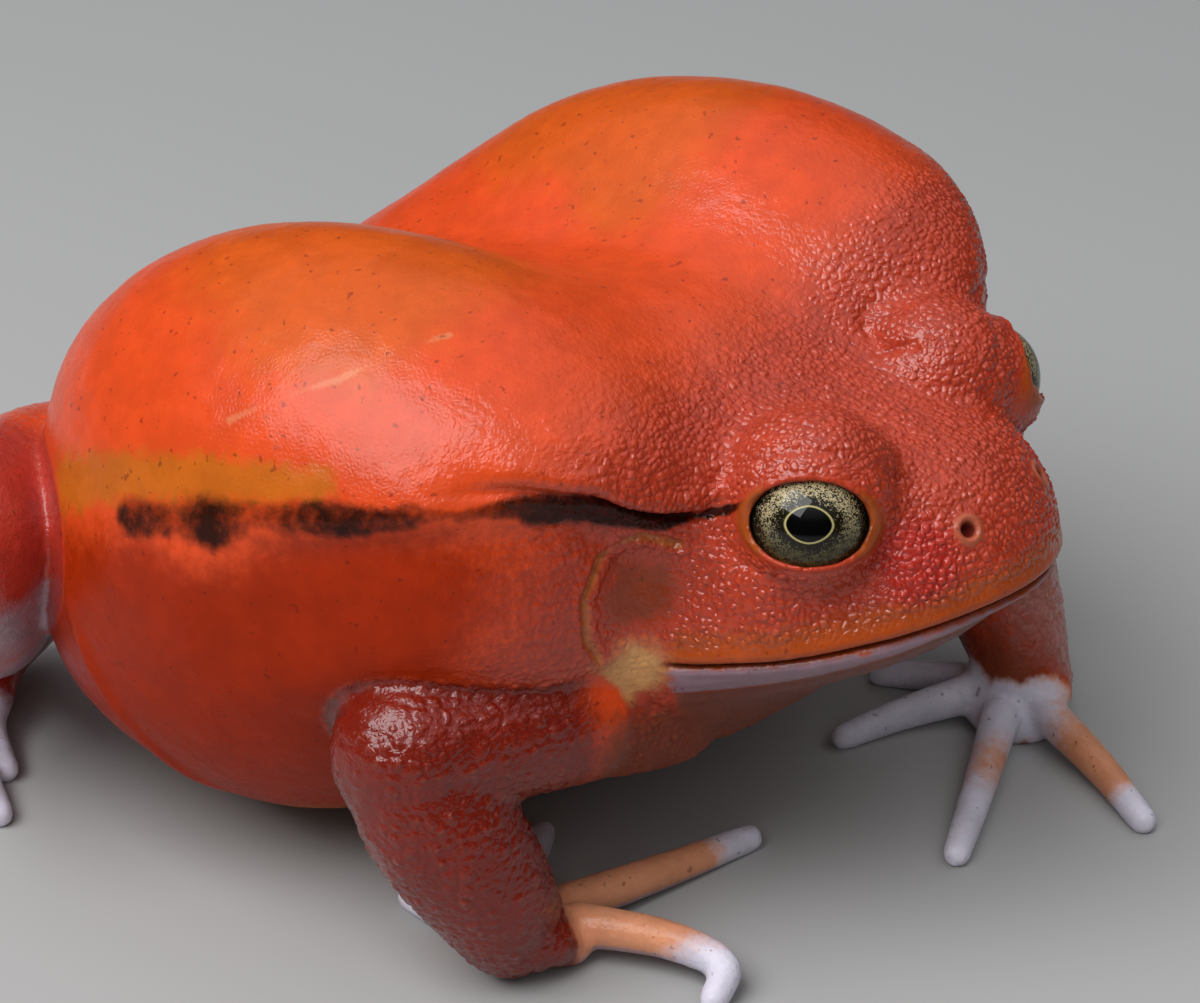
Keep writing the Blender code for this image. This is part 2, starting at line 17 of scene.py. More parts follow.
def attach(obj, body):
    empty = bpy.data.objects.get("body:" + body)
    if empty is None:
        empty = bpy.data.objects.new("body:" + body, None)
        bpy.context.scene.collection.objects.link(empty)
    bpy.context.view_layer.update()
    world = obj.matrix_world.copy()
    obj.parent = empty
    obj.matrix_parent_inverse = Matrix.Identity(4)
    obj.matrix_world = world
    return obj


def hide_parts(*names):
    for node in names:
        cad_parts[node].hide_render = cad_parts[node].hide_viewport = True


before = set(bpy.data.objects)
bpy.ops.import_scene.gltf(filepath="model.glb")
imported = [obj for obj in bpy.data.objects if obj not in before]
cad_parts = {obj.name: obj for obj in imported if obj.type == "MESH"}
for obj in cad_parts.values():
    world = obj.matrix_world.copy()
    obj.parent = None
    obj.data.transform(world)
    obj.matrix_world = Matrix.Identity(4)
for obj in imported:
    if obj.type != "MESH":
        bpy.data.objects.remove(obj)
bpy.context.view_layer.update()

MM = 0.001

# Driving dimensions of the body, in millimetres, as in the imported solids
SNOUT_Y = -43.2
VENT_Y = 45.5
NECK_Y = -17.5
CENTRE_SHIFT_Y = -3.3
EYE_RADIUS = 4.9
EYE_STRETCH = 1.1
# Centres by side, the head being held a little tilted: -1 right, 1 left
EYE_CENTRES = {-1: (11.9, -29.8, 37.5), 1: (13.1, -29.5, 38.7)}
GAZE_TURN = 60.0
GAZE_RISE = 24.0
LID_THICKNESS = 0.75
LID_OPENING = (4.65, 3.1)
BROW_CENTRES = {-1: (10.0, -28.7, 38.4), 1: (10.2, -27.4, 39.5)}
BROW_RADII = (6.8, 6.9, 7.0)
MOUTH_CORNER_Y = -22.7
NOSTRIL = (5.5, -39.7, 36.9)

# Body stations: y, half width, top, side and bottom heights, upper and lower squareness
STATIONS = (
    (-43.2, 10.8, 39.7, 31.2, 28.2, 2.2, 2.0),
    (-37.0, 13.5, 40.7, 29.2, 24.8, 2.2, 2.0),
    (-29.0, 17.6, 42.0, 27.2, 20.0, 2.8, 2.0),
    (-22.0, 19.8, 44.0, 25.8, 13.6, 2.8, 2.0),
    (-13.0, 25.5, 48.0, 27.0, 7.6, 2.6, 1.9),
    (-3.0, 34.0, 51.0, 28.0, 4.0, 2.3, 2.1),
    (8.0, 38.0, 50.5, 28.0, 0.5, 2.2, 2.5),
    (20.0, 38.0, 47.0, 26.0, 0.0, 2.2, 2.5),
    (32.0, 36.8, 42.0, 22.0, 1.6, 2.1, 2.4),
    (45.5, 31.0, 34.0, 19.0, 6.0, 2.0, 2.0),
)
FRONT_CAP_START = -31.5
REAR_CAP_START = 14.0
# The swollen lung on each side: side, centre, radii
LUNGS = (
    (-1, (18.0, 5.5, 31.2), (20.6, 31.5, 21.8)),
    (1, (18.3, -2.9, 31.8), (20.8, 30.5, 23.6)),
)
# Where the swelling starts: back along the body, and up its side
LUNG_FROM_Y = (-23.0, -4.0)
LUNG_FROM_Z = (31.5, 42.0)
LUNG_BLEND = 0.15
BROW_BLEND = 0.3
BACK_DIP_DEPTH = 4.5
BACK_DIP_WIDTH = 8.0
# Where the dip between the lungs starts and ends along the body, and how high it starts
DIP_START_Y = (-16.0, 4.0)
DIP_END_Y = (28.0, 42.0)
DIP_FROM_Z = (30.0, 40.0)
# Hollows on both sides, behind the arm and before the eye: centre, radii, depth
HOLLOWS = (
    ((30.0, -10.0, 20.0), (10.0, 8.5, 7.5), 5.5),
    ((14.5, -34.0, 35.5), (5.0, 3.0, 4.5), 2.4),
)
JAW_NARROWER = 0.045
JAW_SHORTER = 1.2
# The fold that runs back from the eye: y, height, depth of the hollow beneath it
FOLD = (
    (-29.0, 40.0, 0.0),
    (-25.0, 41.0, 0.8),
    (-20.0, 41.5, 1.4),
    (-14.0, 41.5, 1.8),
    (-8.0, 41.0, 1.8),
    (0.0, 39.0, 1.2),
    (9.0, 37.0, 0.0),
)

# Limbs, one row per station: centre x y z, then half width and half height
ARM_RIGHT = (
    (-13.0, -17.0, 18.0, 5.4, 5.4),
    (-23.5, -13.4, 20.2, 5.6, 5.6),
    (-33.4, -8.2, 20.6, 5.9, 5.9),
)
FOREARM_RIGHT = (
    (-33.8, -7.6, 20.4, 5.5, 5.6),
    (-32.6, -10.6, 14.0, 5.9, 5.9),
    (-30.4, -13.4, 7.6, 5.1, 5.0),
    (-28.6, -14.0, 4.4, 4.6, 3.8),
)
HAND_RIGHT = (-26.0, -14.6)
FINGERS_RIGHT = (
    ((-27.4, -11.0, 2.4), (-27.2, -6.4, 1.4), (-26.4, -2.2, 0.9)),
    ((-24.0, -11.4, 2.4), (-18.6, -8.0, 1.4), (-12.8, -5.4, 0.9)),
    ((-22.0, -14.6, 2.6), (-12.0, -17.4, 1.5), (-3.6, -19.8, 0.9)),
    ((-24.0, -17.0, 2.8), (-21.8, -24.0, 2.8), (-21.6, -29.0, 2.2), (-24.2, -29.9, 0.9)),
)
ARM_LEFT = (
    (13.0, -14.0, 18.0, 5.4, 5.4),
    (23.0, -16.0, 19.6, 5.6, 5.6),
    (32.4, -18.4, 18.6, 6.2, 6.2),
)
FOREARM_LEFT = (
    (33.2, -17.4, 19.4, 5.4, 5.6),
    (32.4, -20.6, 13.4, 5.9, 5.8),
    (30.2, -25.0, 7.6, 5.0, 4.8),
    (28.6, -27.4, 4.4, 4.5, 3.8),
)
HAND_LEFT = (26.0, -28.2)
FINGERS_LEFT = (
    ((27.4, -24.8, 2.4), (27.2, -19.8, 1.4), (25.4, -14.8, 0.9)),
    ((25.0, -24.4, 2.4), (20.2, -20.6, 1.4), (14.4, -17.8, 0.9)),
    ((22.6, -28.6, 2.6), (13.0, -32.0, 1.5), (4.2, -35.0, 0.9)),
    ((25.6, -31.4, 2.6), (21.8, -38.8, 1.5), (17.4, -45.2, 0.9)),
)
# Hind limbs of the left side, mirrored for the right
THIGH = (
    (10.0, 38.0, 18.0, 8.0, 9.0),
    (24.0, 37.5, 23.0, 8.0, 9.0),
    (38.0, 32.8, 27.6, 6.6, 7.2),
)
SHANK = (
    (39.0, 32.4, 26.4, 6.2, 6.4),
    (32.0, 38.5, 17.5, 6.6, 6.4),
    (22.5, 45.5, 9.5, 4.6, 4.4),
    (17.0, 49.0, 6.6, 3.9, 3.9),
)
TARSUS = (
    (16.4, 49.2, 5.6, 3.8, 3.9),
    (21.0, 48.6, 3.8, 3.4, 3.0),
    (26.0, 47.2, 2.6, 4.6, 2.3),
    (29.6, 45.4, 2.2, 4.6, 1.4),
)
TOES = (
    ((26.0, 45.0, 2.2), (28.6, 41.6, 1.4), (31.0, 37.8, 0.9)),
    ((28.6, 44.6, 2.2), (32.8, 39.0, 1.4), (36.4, 33.4, 0.9)),
    ((30.4, 44.4, 2.2), (37.6, 38.4, 1.5), (43.4, 31.8, 0.9)),
    ((31.6, 45.4, 2.2), (41.0, 40.6, 1.5), (49.4, 34.4, 0.9)),
    ((30.6, 46.8, 2.2), (39.0, 45.6, 1.4), (46.4, 42.8, 0.9)),
)
DIGIT_BASE_RADIUS = 1.75
DIGIT_TIP_RADIUS = 1.2

# Fineness of the skin
BODY_RINGS = 260
BODY_SIDES = 360
LIMB_STEPS = 60
LIMB_SIDES = 48
VOXEL = 0.36
SMOOTHING = 10
REFINED_SMOOTHING = 2
EYE_CLEARANCE = 0.05


# Numbers and fields


def smooth_step(x, low, high):
    t = np.clip((x - low) / (high - low), 0.0, 1.0)
    return t * t * (3 - 2 * t)


def curve_value(rows, y, column):
    """A smooth curve through one column of a table, read at y, its first column."""
    ys = np.array([row[0] for row in rows])
    values = np.array([row[column] for row in rows])
    slopes = np.gradient(values, ys)
    y = np.clip(y, ys[0], ys[-1])
    i = np.clip(np.searchsorted(ys, y) - 1, 0, len(ys) - 2)
    span = ys[i + 1] - ys[i]
    t = (y - ys[i]) / span
    from_start = (1 + 2 * t) * (1 - t) ** 2 * values[i] + t * (1 - t) ** 2 * span * slopes[i]
    from_end = t * t * (3 - 2 * t) * values[i + 1] + t * t * (t - 1) * span * slopes[i + 1]
    return from_start + from_end


def soft_max(a, b, blend):
    """The larger of a and b, rounded off where they are within blend of each other."""
    h = np.clip(0.5 + 0.5 * (a - b) / blend, 0.0, 1.0)
    return b + (a - b) * h + blend * h * (1 - h)


# Form of head and body


def bulge(points, side, centre, radii, blend):
    """Pushes the points of one side that lie inside an ellipsoid out to its surface."""
    middle = np.array((side * centre[0], centre[1], centre[2]))
    away = points - middle
    reach = np.maximum(np.linalg.norm(away / np.array(radii), axis=1), 1e-4)
    swollen = middle + away * (soft_max(reach, 1.0, blend) / reach)[:, None]
    return np.where((points[:, 0] * side > 0)[:, None], swollen, points)


def hollow(points, centre, radii, depth):
    """Draws the skin in towards the body's axis around a point, on both sides."""
    for side in (-1, 1):
        middle = np.array((side * centre[0], centre[1], centre[2]))
        near = np.exp(-np.sum(((points - middle) / np.array(radii)) ** 2, axis=1))
        points[:, 0] -= side * depth * near
    return points


def under_fold(points):
    """Draws the skin in beneath the fold that runs back from the eye."""
    x, y, z = points.T
    drop = curve_value(FOLD, y, 1) - z
    depth = curve_value(FOLD, y, 2)
    amount = depth * smooth_step(drop, 0.0, 3.2) * (1 - smooth_step(drop, 7.0, 16.0))
    points[:, 0] -= np.sign(x) * amount * smooth_step(np.abs(x), 8.0, 14.0)
    return points


def shape_features(points):
    """Swells lungs and brows, sinks the mid-back, and insets the lower jaw."""
    from_y = smooth_step(points[:, 1], *LUNG_FROM_Y)
    from_z = smooth_step(points[:, 2], *LUNG_FROM_Z)
    share = np.maximum(from_y, from_z)
    swollen = points
    for side, centre, radii in LUNGS:
        swollen = bulge(swollen, side, centre, radii, LUNG_BLEND)
    points = points + share[:, None] * (swollen - points)
    x, y, z = points.T
    along = smooth_step(y, *DIP_START_Y) * (1 - smooth_step(y, *DIP_END_Y))
    dip = np.exp(-(x / BACK_DIP_WIDTH) ** 2) * along * smooth_step(z, *DIP_FROM_Z)
    points[:, 2] -= BACK_DIP_DEPTH * dip
    points = under_fold(points)
    for centre, radii, depth in HOLLOWS:
        points = hollow(points, centre, radii, depth)
    for side in (-1, 1):
        points = bulge(points, side, BROW_CENTRES[side], BROW_RADII, BROW_BLEND)
    x, y, z = points.T
    mouth = curve_value(STATIONS, y, 3)
    in_head = 1 - smooth_step(y, MOUTH_CORNER_Y - 3, MOUTH_CORNER_Y + 3)
    lower = smooth_step(mouth - z, 0.2, 1.2) * in_head
    points[:, 0] *= 1 - JAW_NARROWER * lower
    points[:, 1] += JAW_SHORTER * lower * smooth_step(-y, 36, 44)
    points[:, 2] = np.maximum(points[:, 2], 0.0)
    return points


def body_points():
    """Points of the skin of head and body, ring by ring, with the two end points last."""
    u = np.arange(1, BODY_RINGS) / BODY_RINGS
    y = 0.5 * (SNOUT_Y + VENT_Y) - 0.5 * (VENT_Y - SNOUT_Y) * np.cos(math.pi * u)
    v = 2 * math.pi * np.arange(BODY_SIDES) / BODY_SIDES
    y, v = (grid.ravel() for grid in np.meshgrid(y, v, indexing="ij"))
    half, top, side, low, n_top, n_low = (curve_value(STATIONS, y, c) for c in range(1, 7))
    front = np.clip((FRONT_CAP_START - y) / (FRONT_CAP_START - SNOUT_Y), 0, 1)
    rear = np.clip((y - REAR_CAP_START) / (VENT_Y - REAR_CAP_START), 0, 1)
    cap_width = np.sqrt((1 - front ** 2.1) * (1 - rear ** 2.2))
    cap_height = np.sqrt((1 - front ** 3.2) * (1 - rear ** 2.2))
    upper = np.cos(v) > 0
    n = np.where(upper, n_top, n_low)
    r = (np.abs(np.sin(v)) ** n + np.abs(np.cos(v)) ** n) ** (-1 / n)
    x = half * cap_width * r * np.sin(v)
    z = side + np.where(upper, top - side, side - low) * cap_height * r * np.cos(v)
    ends = np.array([(0, end, curve_value(STATIONS, end, 3)) for end in (SNOUT_Y, VENT_Y)])
    return shape_features(np.concatenate([np.stack([x, y, z], axis=1), ends]))


# Meshes


def mesh_object(name, points, faces):
    """A mesh from points in millimetres."""
    mesh = bpy.data.meshes.new(name)
    mesh.from_pydata((points * MM).tolist(), [], faces)
    mesh.validate()
    made = bpy.data.objects.new(name, mesh)
    bpy.context.scene.collection.objects.link(made)
    return made


def lofted(name, points, sides):
    """Skins rings of `sides` points, closed at each end by one of the last two points."""
    count = (len(points) - 2) // sides
    k = np.arange(sides)
    n = (k + 1) % sides
    rows = (np.arange(count - 1) * sides)[:, None]
    quads = np.stack([rows + k, rows + n, rows + sides + n, rows + sides + k], axis=-1)
    tail = (count - 1) * sides
    first = np.stack([np.full(sides, count * sides), n, k], axis=-1)
    last = np.stack([np.full(sides, count * sides + 1), tail + k, tail + n], axis=-1)
    return mesh_object(name, points, quads.reshape(-1, 4).tolist() + first.tolist() + last.tolist())


def path_points(rows, count):
    """A smooth path through the rows, sampled at `count` even steps of row number."""
    rows = np.array(rows, float)
    t = np.linspace(0, len(rows) - 1, count)
    slopes = np.gradient(rows, axis=0)
    i = np.clip(t.astype(int), 0, len(rows) - 2)
    s = (t - i)[:, None]
    a, b = rows[i], rows[i + 1]
    return ((1 + 2 * s) * (1 - s) ** 2 * a + s * (1 - s) ** 2 * slopes[i]
            + s * s * (3 - 2 * s) * b + s * s * (s - 1) * slopes[i + 1])


def tube(name, rows, side_axis=None):
    """A tapering tube along rows of centre and half sizes, with round ends."""
    body = path_points(rows, LIMB_STEPS)
    tangents = np.gradient(body[:, :3], axis=0)
    tangents /= np.linalg.norm(tangents, axis=1)[:, None]
    angles = np.radians(np.arange(5, 90, 8))
    centres, sizes, along = [], [], []
    for end, way, turns in ((0, -1, angles[::-1]), (-1, 1, angles)):
        cap = [(body[end, :3] + way * tangents[end] * math.sin(a) * body[end, 3:].mean(),
                body[end, 3:] * math.cos(a), tangents[end]) for a in turns]
        middle = list(zip(body[:, :3], body[:, 3:], tangents)) if way < 0 else []
        for centre, size, tangent in cap + middle:
            centres.append(centre)
            sizes.append(size)
            along.append(tangent)
    around = 2 * math.pi * np.arange(LIMB_SIDES) / LIMB_SIDES
    points = []
    for centre, size, tangent in zip(centres, sizes, along):
        across = np.cross(tangent, (0, 0, 1))
        if side_axis is not None:
            across = np.array(side_axis, float) - np.dot(side_axis, tangent) * tangent
        across /= np.linalg.norm(across)
        other = np.cross(across, tangent)
        ring = np.outer(np.cos(around), across * size[0]) + np.outer(np.sin(around), other * size[1])
        points.append(centre + ring)
    ends = [body[0, :3] - tangents[0] * body[0, 3:].mean()]
    ends.append(body[-1, :3] + tangents[-1] * body[-1, 3:].mean())
    return lofted(name, np.concatenate(points + [np.array(ends)]), LIMB_SIDES)


def digit(name, centres):
    """A finger or toe."""
    share = np.linspace(0, 1, len(centres))
    radii = DIGIT_BASE_RADIUS + (DIGIT_TIP_RADIUS - DIGIT_BASE_RADIUS) * share
    return tube(name, [tuple(c) + (r, r) for c, r in zip(centres, radii)])


def arm(upper, fore, palm, fingers):
    wrist = np.array(fore[-1][:3])
    toward = np.array((*palm, 2.4)) - wrist
    hand_rows = (
        tuple(wrist + (0, 0, -0.6)) + (4.4, 3.4),
        tuple(wrist + 0.6 * toward) + (4.8, 2.9),
        tuple(wrist + 1.3 * toward) + (4.2, 2.2),
    )
    pieces = [tube("upper", upper), tube("fore", fore, (1, 0, 0)), tube("palm", hand_rows)]
    return pieces + [digit("digit", f) for f in fingers]


def leg(side):
    thigh, shank, tarsus, *toes = (
        [(side * row[0],) + tuple(row[1:]) for row in rows] for rows in (THIGH, SHANK, TARSUS) + TOES
    )
    pieces = [tube("thigh", thigh), tube("shank", shank, (0, 0, 1)), tube("tarsus", tarsus)]
    return pieces + [digit("digit", toe) for toe in toes]


def eye_frame(side):
    """Turns +Z to the eye's line of sight, with the local Y axis close to upright."""
    turn, rise = math.radians(GAZE_TURN), math.radians(GAZE_RISE)
    level = math.cos(rise)
    ahead = Vector((side * math.sin(turn) * level, -math.cos(turn) * level, math.sin(rise)))
    across = Vector((0, 0, 1)).cross(ahead).normalized()
    up = ahead.cross(across)
    x, y, z = EYE_CENTRES[side]
    place = Matrix((across, up, ahead)).transposed().to_4x4()
    return Matrix.Translation(Vector((side * x, y, z)) * MM) @ place


def ball(radius, eye):
    """A sphere of a radius in millimetres, turned and placed as the eye is."""
    bpy.ops.mesh.primitive_uv_sphere_add(segments=96, ring_count=64, radius=radius * MM)
    made = bpy.context.object
    made.data.transform(eye)
    return made


def boolean(item, other, operation):
    modifier = item.modifiers.new("cut", "BOOLEAN")
    modifier.operation = operation
    modifier.object = other
    modifier.solver = "MANIFOLD"
    apply(item)
    bpy.data.objects.remove(other)


def join(item, others):
    """Adds the meshes of the other objects to one object's mesh."""
    bpy.ops.object.select_all(action="DESELECT")
    for other in others:
        other.select_set(True)
    item.select_set(True)
    bpy.context.view_layer.objects.active = item
    bpy.ops.object.join()


def apply(item):
    """Keeps what the modifiers make of an object as its own mesh."""
    evaluated = item.evaluated_get(bpy.context.evaluated_depsgraph_get())
    mesh = bpy.data.meshes.new_from_object(evaluated)
    item.modifiers.clear()
    item.data = mesh


def cut_eye(item, side):
    """Lids round the eye, the socket and the slit between the lids."""
    eye = eye_frame(side)
    boolean(item, ball(EYE_RADIUS + LID_THICKNESS, eye), "UNION")
    stretch = Matrix.Diagonal((1.0, 1.0, EYE_STRETCH, 1.0))
    boolean(item, ball(EYE_RADIUS + EYE_CLEARANCE, eye @ stretch), "DIFFERENCE")
    bpy.ops.mesh.primitive_cone_add(vertices=96, radius1=0.86 * MM * LID_OPENING[0],
                                    radius2=1.5 * MM * LID_OPENING[0], depth=9 * MM)
    opening = bpy.context.object
    squash = Matrix.Diagonal((1.0, LID_OPENING[1] / LID_OPENING[0], 1.0, 1.0))
    opening.data.transform(eye @ Matrix.Translation((0, 0, 6.4 * MM)) @ squash)
    boolean(item, opening, "DIFFERENCE")


def shaped_skin():
    """Head, body and limbs as one closed surface of small even faces."""
    skin = lofted("frog_skin", body_points(), BODY_SIDES)
    for side in (-1, 1):
        cut_eye(skin, side)
    limbs = arm(ARM_RIGHT, FOREARM_RIGHT, HAND_RIGHT, FINGERS_RIGHT)
    limbs += arm(ARM_LEFT, FOREARM_LEFT, HAND_LEFT, FINGERS_LEFT)
    limbs += leg(-1) + leg(1)
    join(skin, limbs)
    remesh = skin.modifiers.new("remesh", "REMESH")
    remesh.mode = "VOXEL"
    remesh.voxel_size = VOXEL * MM
    smooth = skin.modifiers.new("smooth", "SMOOTH")
    smooth.factor = 0.5
    smooth.iterations = SMOOTHING
    apply(skin)
    return skin


def points_of(item):
    found = np.empty(len(item.data.vertices) * 3, np.float32)
    item.data.vertices.foreach_get("co", found)
    return found.reshape(-1, 3).astype(float) / MM


def normals_of(item):
    found = np.empty(len(item.data.vertices) * 3, np.float32)
    item.data.vertices.foreach_get("normal", found)
    return found.reshape(-1, 3).astype(float)


def place_points(item, points):
    item.data.vertices.foreach_set("co", (points * MM).astype(np.float32).ravel())
    item.data.update()


def refine(item, wanted):
    """Halves the edges whose two ends are both wanted."""
    work = bmesh.new()
    work.from_mesh(item.data)
    work.verts.ensure_lookup_table()
    edges = [e for e in work.edges if wanted[e.verts[0].index] and wanted[e.verts[1].index]]
    bmesh.ops.subdivide_edges(work, edges=edges, cuts=1, use_grid_fill=True)
    work.to_mesh(item.data)
    work.free()


# Noise on the skin


def hashed(cells, seed):
    """Three even random numbers from 0 to 1 for each whole-numbered cell."""
    n = cells.astype(np.int64) @ np.array((73856093, 19349663, 83492791)) + seed * 7919
    found = []
    for shift in (13, 11, 15):
        n = ((n ^ (n >> shift)) * 1274126177) & 0x7FFFFFFF
        found.append(((n >> 7) & 0xFFFF) / 65535.0)
    return np.stack(found, axis=-1)


def pebbles(points, size, seed):
    """Rounded bumps packed side by side, of uneven height: up to 1 on a bump, 0 between them."""
    bend = [soft_noise(points, 1.8 * size, seed + k) for k in (31, 32, 33)]
    place = points / size + 0.22 * np.stack(bend, axis=1)
    base = np.floor(place)
    first = np.full(len(points), 9.0)
    second = first.copy()
    tall = first.copy()
    for step in itertools.product((-1, 0, 1), repeat=3):
        cell = base + step
        chance = hashed(cell, seed)
        away = np.linalg.norm(cell + 0.12 + 0.76 * chance - place, axis=1)
        second = np.minimum(second, np.maximum(first, away))
        tall = np.where(away < first, chance[:, 1], tall)
        first = np.minimum(first, away)
    dome = 1 - 0.5 * np.clip(first / 0.8, 0, 1) ** 2
    return smooth_step(second - first, 0.0, 0.45) * dome * (0.5 + 0.5 * tall)


def soft_noise(points, size, seed):
    """Smooth lumps about `size` across, from -1 to 1."""
    place = points / size
    base = np.floor(place)
    t = place - base
    t = t * t * (3 - 2 * t)
    total = np.zeros(len(points))
    for step in itertools.product((0, 1), repeat=3):
        weight = np.prod(np.where(np.array(step) > 0, t, 1 - t), axis=1)
        total += weight * (2 * hashed(base + step, seed)[:, 0] - 1)
    return total


# Places on the skin


def right_side(points):
    """The points of both sides, folded over to the right side."""
    folded = points.copy()
    folded[:, 0] = -np.abs(points[:, 0])
    return folded


def path_gap(points, path):
    """Distance from a line through the places of `path`, and how far along it, 0 to 1."""
    path = np.array(path, float)
    gap = np.full(len(points), 1e3)
    along = np.zeros(len(points))
    for i, (a, b) in enumerate(zip(path[:-1], path[1:])):
        t = np.clip((points - a) @ (b - a) / ((b - a) @ (b - a)), 0, 1)
        here = np.linalg.norm(points - a - t[:, None] * (b - a), axis=1)
        closer = here < gap
        gap = np.where(closer, here, gap)
        along = np.where(closer, (i + t) / (len(path) - 1), along)
    return gap, along


def near(points, centre, inner, outer):
    """1 within `inner` of a place, fading to 0 at `outer`."""
    return 1 - smooth_step(np.linalg.norm(points - np.array(centre, float), axis=1), inner, outer)


def line_share(points, path, inner, outer):
    """1 within `inner` of a path, fading to 0 at `outer`."""
    return 1 - smooth_step(path_gap(points, path)[0], inner, outer)


def eye_place(points):
    """Across, up and ahead of the nearer eye's centre, in its own frame."""
    found = np.zeros_like(points)
    for side in (-1, 1):
        turn = np.array(eye_frame(side))
        local = (points - turn[:3, 3] / MM) @ turn[:3, :3]
        mine = points[:, 0] * side > 0
        found[mine] = local[mine]
    return found


def regions(points):
    """Where each part of the body is, as shares from 0 to 1."""
    x, y, z = points.T
    wide = np.abs(x)
    limb = np.zeros(len(points))
    for rows in (ARM_RIGHT[1:], FOREARM_RIGHT, ARM_LEFT[1:], FOREARM_LEFT):
        gap = path_gap(points, [row[:3] for row in rows])[0]
        limb = np.maximum(limb, 1 - smooth_step(gap, 6.2, 7.4))
    hand = np.zeros(len(points))
    for fingers in (FINGERS_RIGHT, FINGERS_LEFT):
        for finger in fingers:
            hand = np.maximum(hand, line_share(points, finger, 2.2, 4.0))
    inner = 1 - smooth_step(wide + 0.3 * (y + 12), 18.5, 25.5)
    # The chest between the arms, whose colour is painted dark as shade
    chest_painted_shade = inner * (1 - smooth_step(z, 18, 25)) * (1 - smooth_step(y, -12, -5))
    found = {"arm": limb * (1 - hand) * (1 - inner), "hand": hand, "chest_painted_shade": chest_painted_shade}
    hind = np.zeros(len(points))
    toes = hind.copy()
    folded = points.copy()
    folded[:, 0] = wide
    for rows, reach in ((THIGH[1:], 9.4), (SHANK, 6.9), (TARSUS, 5.0)):
        gap = path_gap(folded, [row[:3] for row in rows])[0]
        hind = np.maximum(hind, 1 - smooth_step(gap, reach - 0.6, reach + 0.4))
    for toe in TOES:
        toes = np.maximum(toes, line_share(folded, toe, 2.2, 4.0))
    found["leg"] = hind * (1 - toes)
    found["toes"] = toes
    flesh = np.maximum.reduce([limb, hand, hind, toes])
    found["trunk"] = 1 - flesh
    found["head"] = (1 - smooth_step(y + 0.25 * (z - 34), -21, -9)) * (1 - flesh)
    return found


# Relief: folds, lips, lids, nostrils and granules

# Width of the granules, and the height in them that counts as the level of the skin
SMALL_STONE = 0.62
LARGE_STONE = 1.15
STONE_LEVEL = 0.35
# How far from its line the fold over the stripe reaches
FOLD_REACH = 4.0
# Height of the lower lip's pale band: y, height
LIP_HEIGHT = ((-44.0, 0.5), (-38.0, 1.5), (-32.0, 2.2), (-24.0, 2.7))
# Places on the right side, where the stripe runs under the fold, from the eye back
FOLD_LINE = (
    (-16.3, -26.7, 40.1),
    (-15.9, -24.2, 38.5),
    (-16.9, -23.1, 38.2),
    (-20.2, -20.8, 39.0),
    (-23.9, -18.9, 41.1),
    (-26.2, -16.9, 41.9),
    (-28.2, -14.8, 42.6),
    (-30.0, -12.5, 42.7),
    (-31.9, -10.3, 42.6),
    (-33.6, -7.9, 42.1),
)
TYMPANUM = (-19.9, -19.8, 31.9)
CREAM_PATCH = ((-20.6, -20.2, 25.2), (-23.0, -17.4, 22.2), (-24.5, -14.5, 19.5))
TYMPANUM_RIM = (
    (-18.1, -22.1, 35.7),
    (-20.2, -20.0, 36.8),
    (-22.7, -18.0, 35.2),
    (-24.4, -17.9, 32.5),
    (-24.2, -18.0, 29.0),
    (-23.0, -18.2, 26.8),
)
LORES = (-9.3, -37.4, 35.2)
GROIN_FOLD = (
    (-37.6, 25.5, 30.0),
    (-37.4, 22.5, 22.0),
    (-36.0, 18.0, 14.0),
    (-32.0, 13.0, 7.5),
)
NAPE_CREASE = (
    (-10.5, -22.0, 46.0),
    (-7.0, -22.6, 44.6),
    (-5.0, -25.3, 43.9),
    (-5.6, -27.8, 44.6),
)


def mouth_drop(points):
    """Height under the line of the mouth, in millimetres."""
    return curve_value(STATIONS, points[:, 1], 3) - points[:, 2]


def eye_reach(points):
    """How far a place is from the eye's axis, 1 at the edge of the lids, and the place itself."""
    local = eye_place(points)
    reach = np.hypot(local[:, 0] / LID_OPENING[0], local[:, 1] / LID_OPENING[1])
    return np.where(local[:, 2] > 0, reach, 9.0), local


def nostril_gap(points):
    """Distance from the place on the skin nearest to the nostril's centre."""
    folded = right_side(points)
    away = np.linalg.norm(folded - np.array((-NOSTRIL[0], *NOSTRIL[1:])), axis=1)
    return np.linalg.norm(folded - folded[np.argmin(away)], axis=1)


def jaw_front(points, trunk):
    """Where the jaws are, from the corners of the mouth forward."""
    ahead = 1 - smooth_step(points[:, 1], MOUTH_CORNER_Y - 0.5, MOUTH_CORNER_Y + 1.5)
    return trunk * ahead * (np.abs(points[:, 0]) < 23)


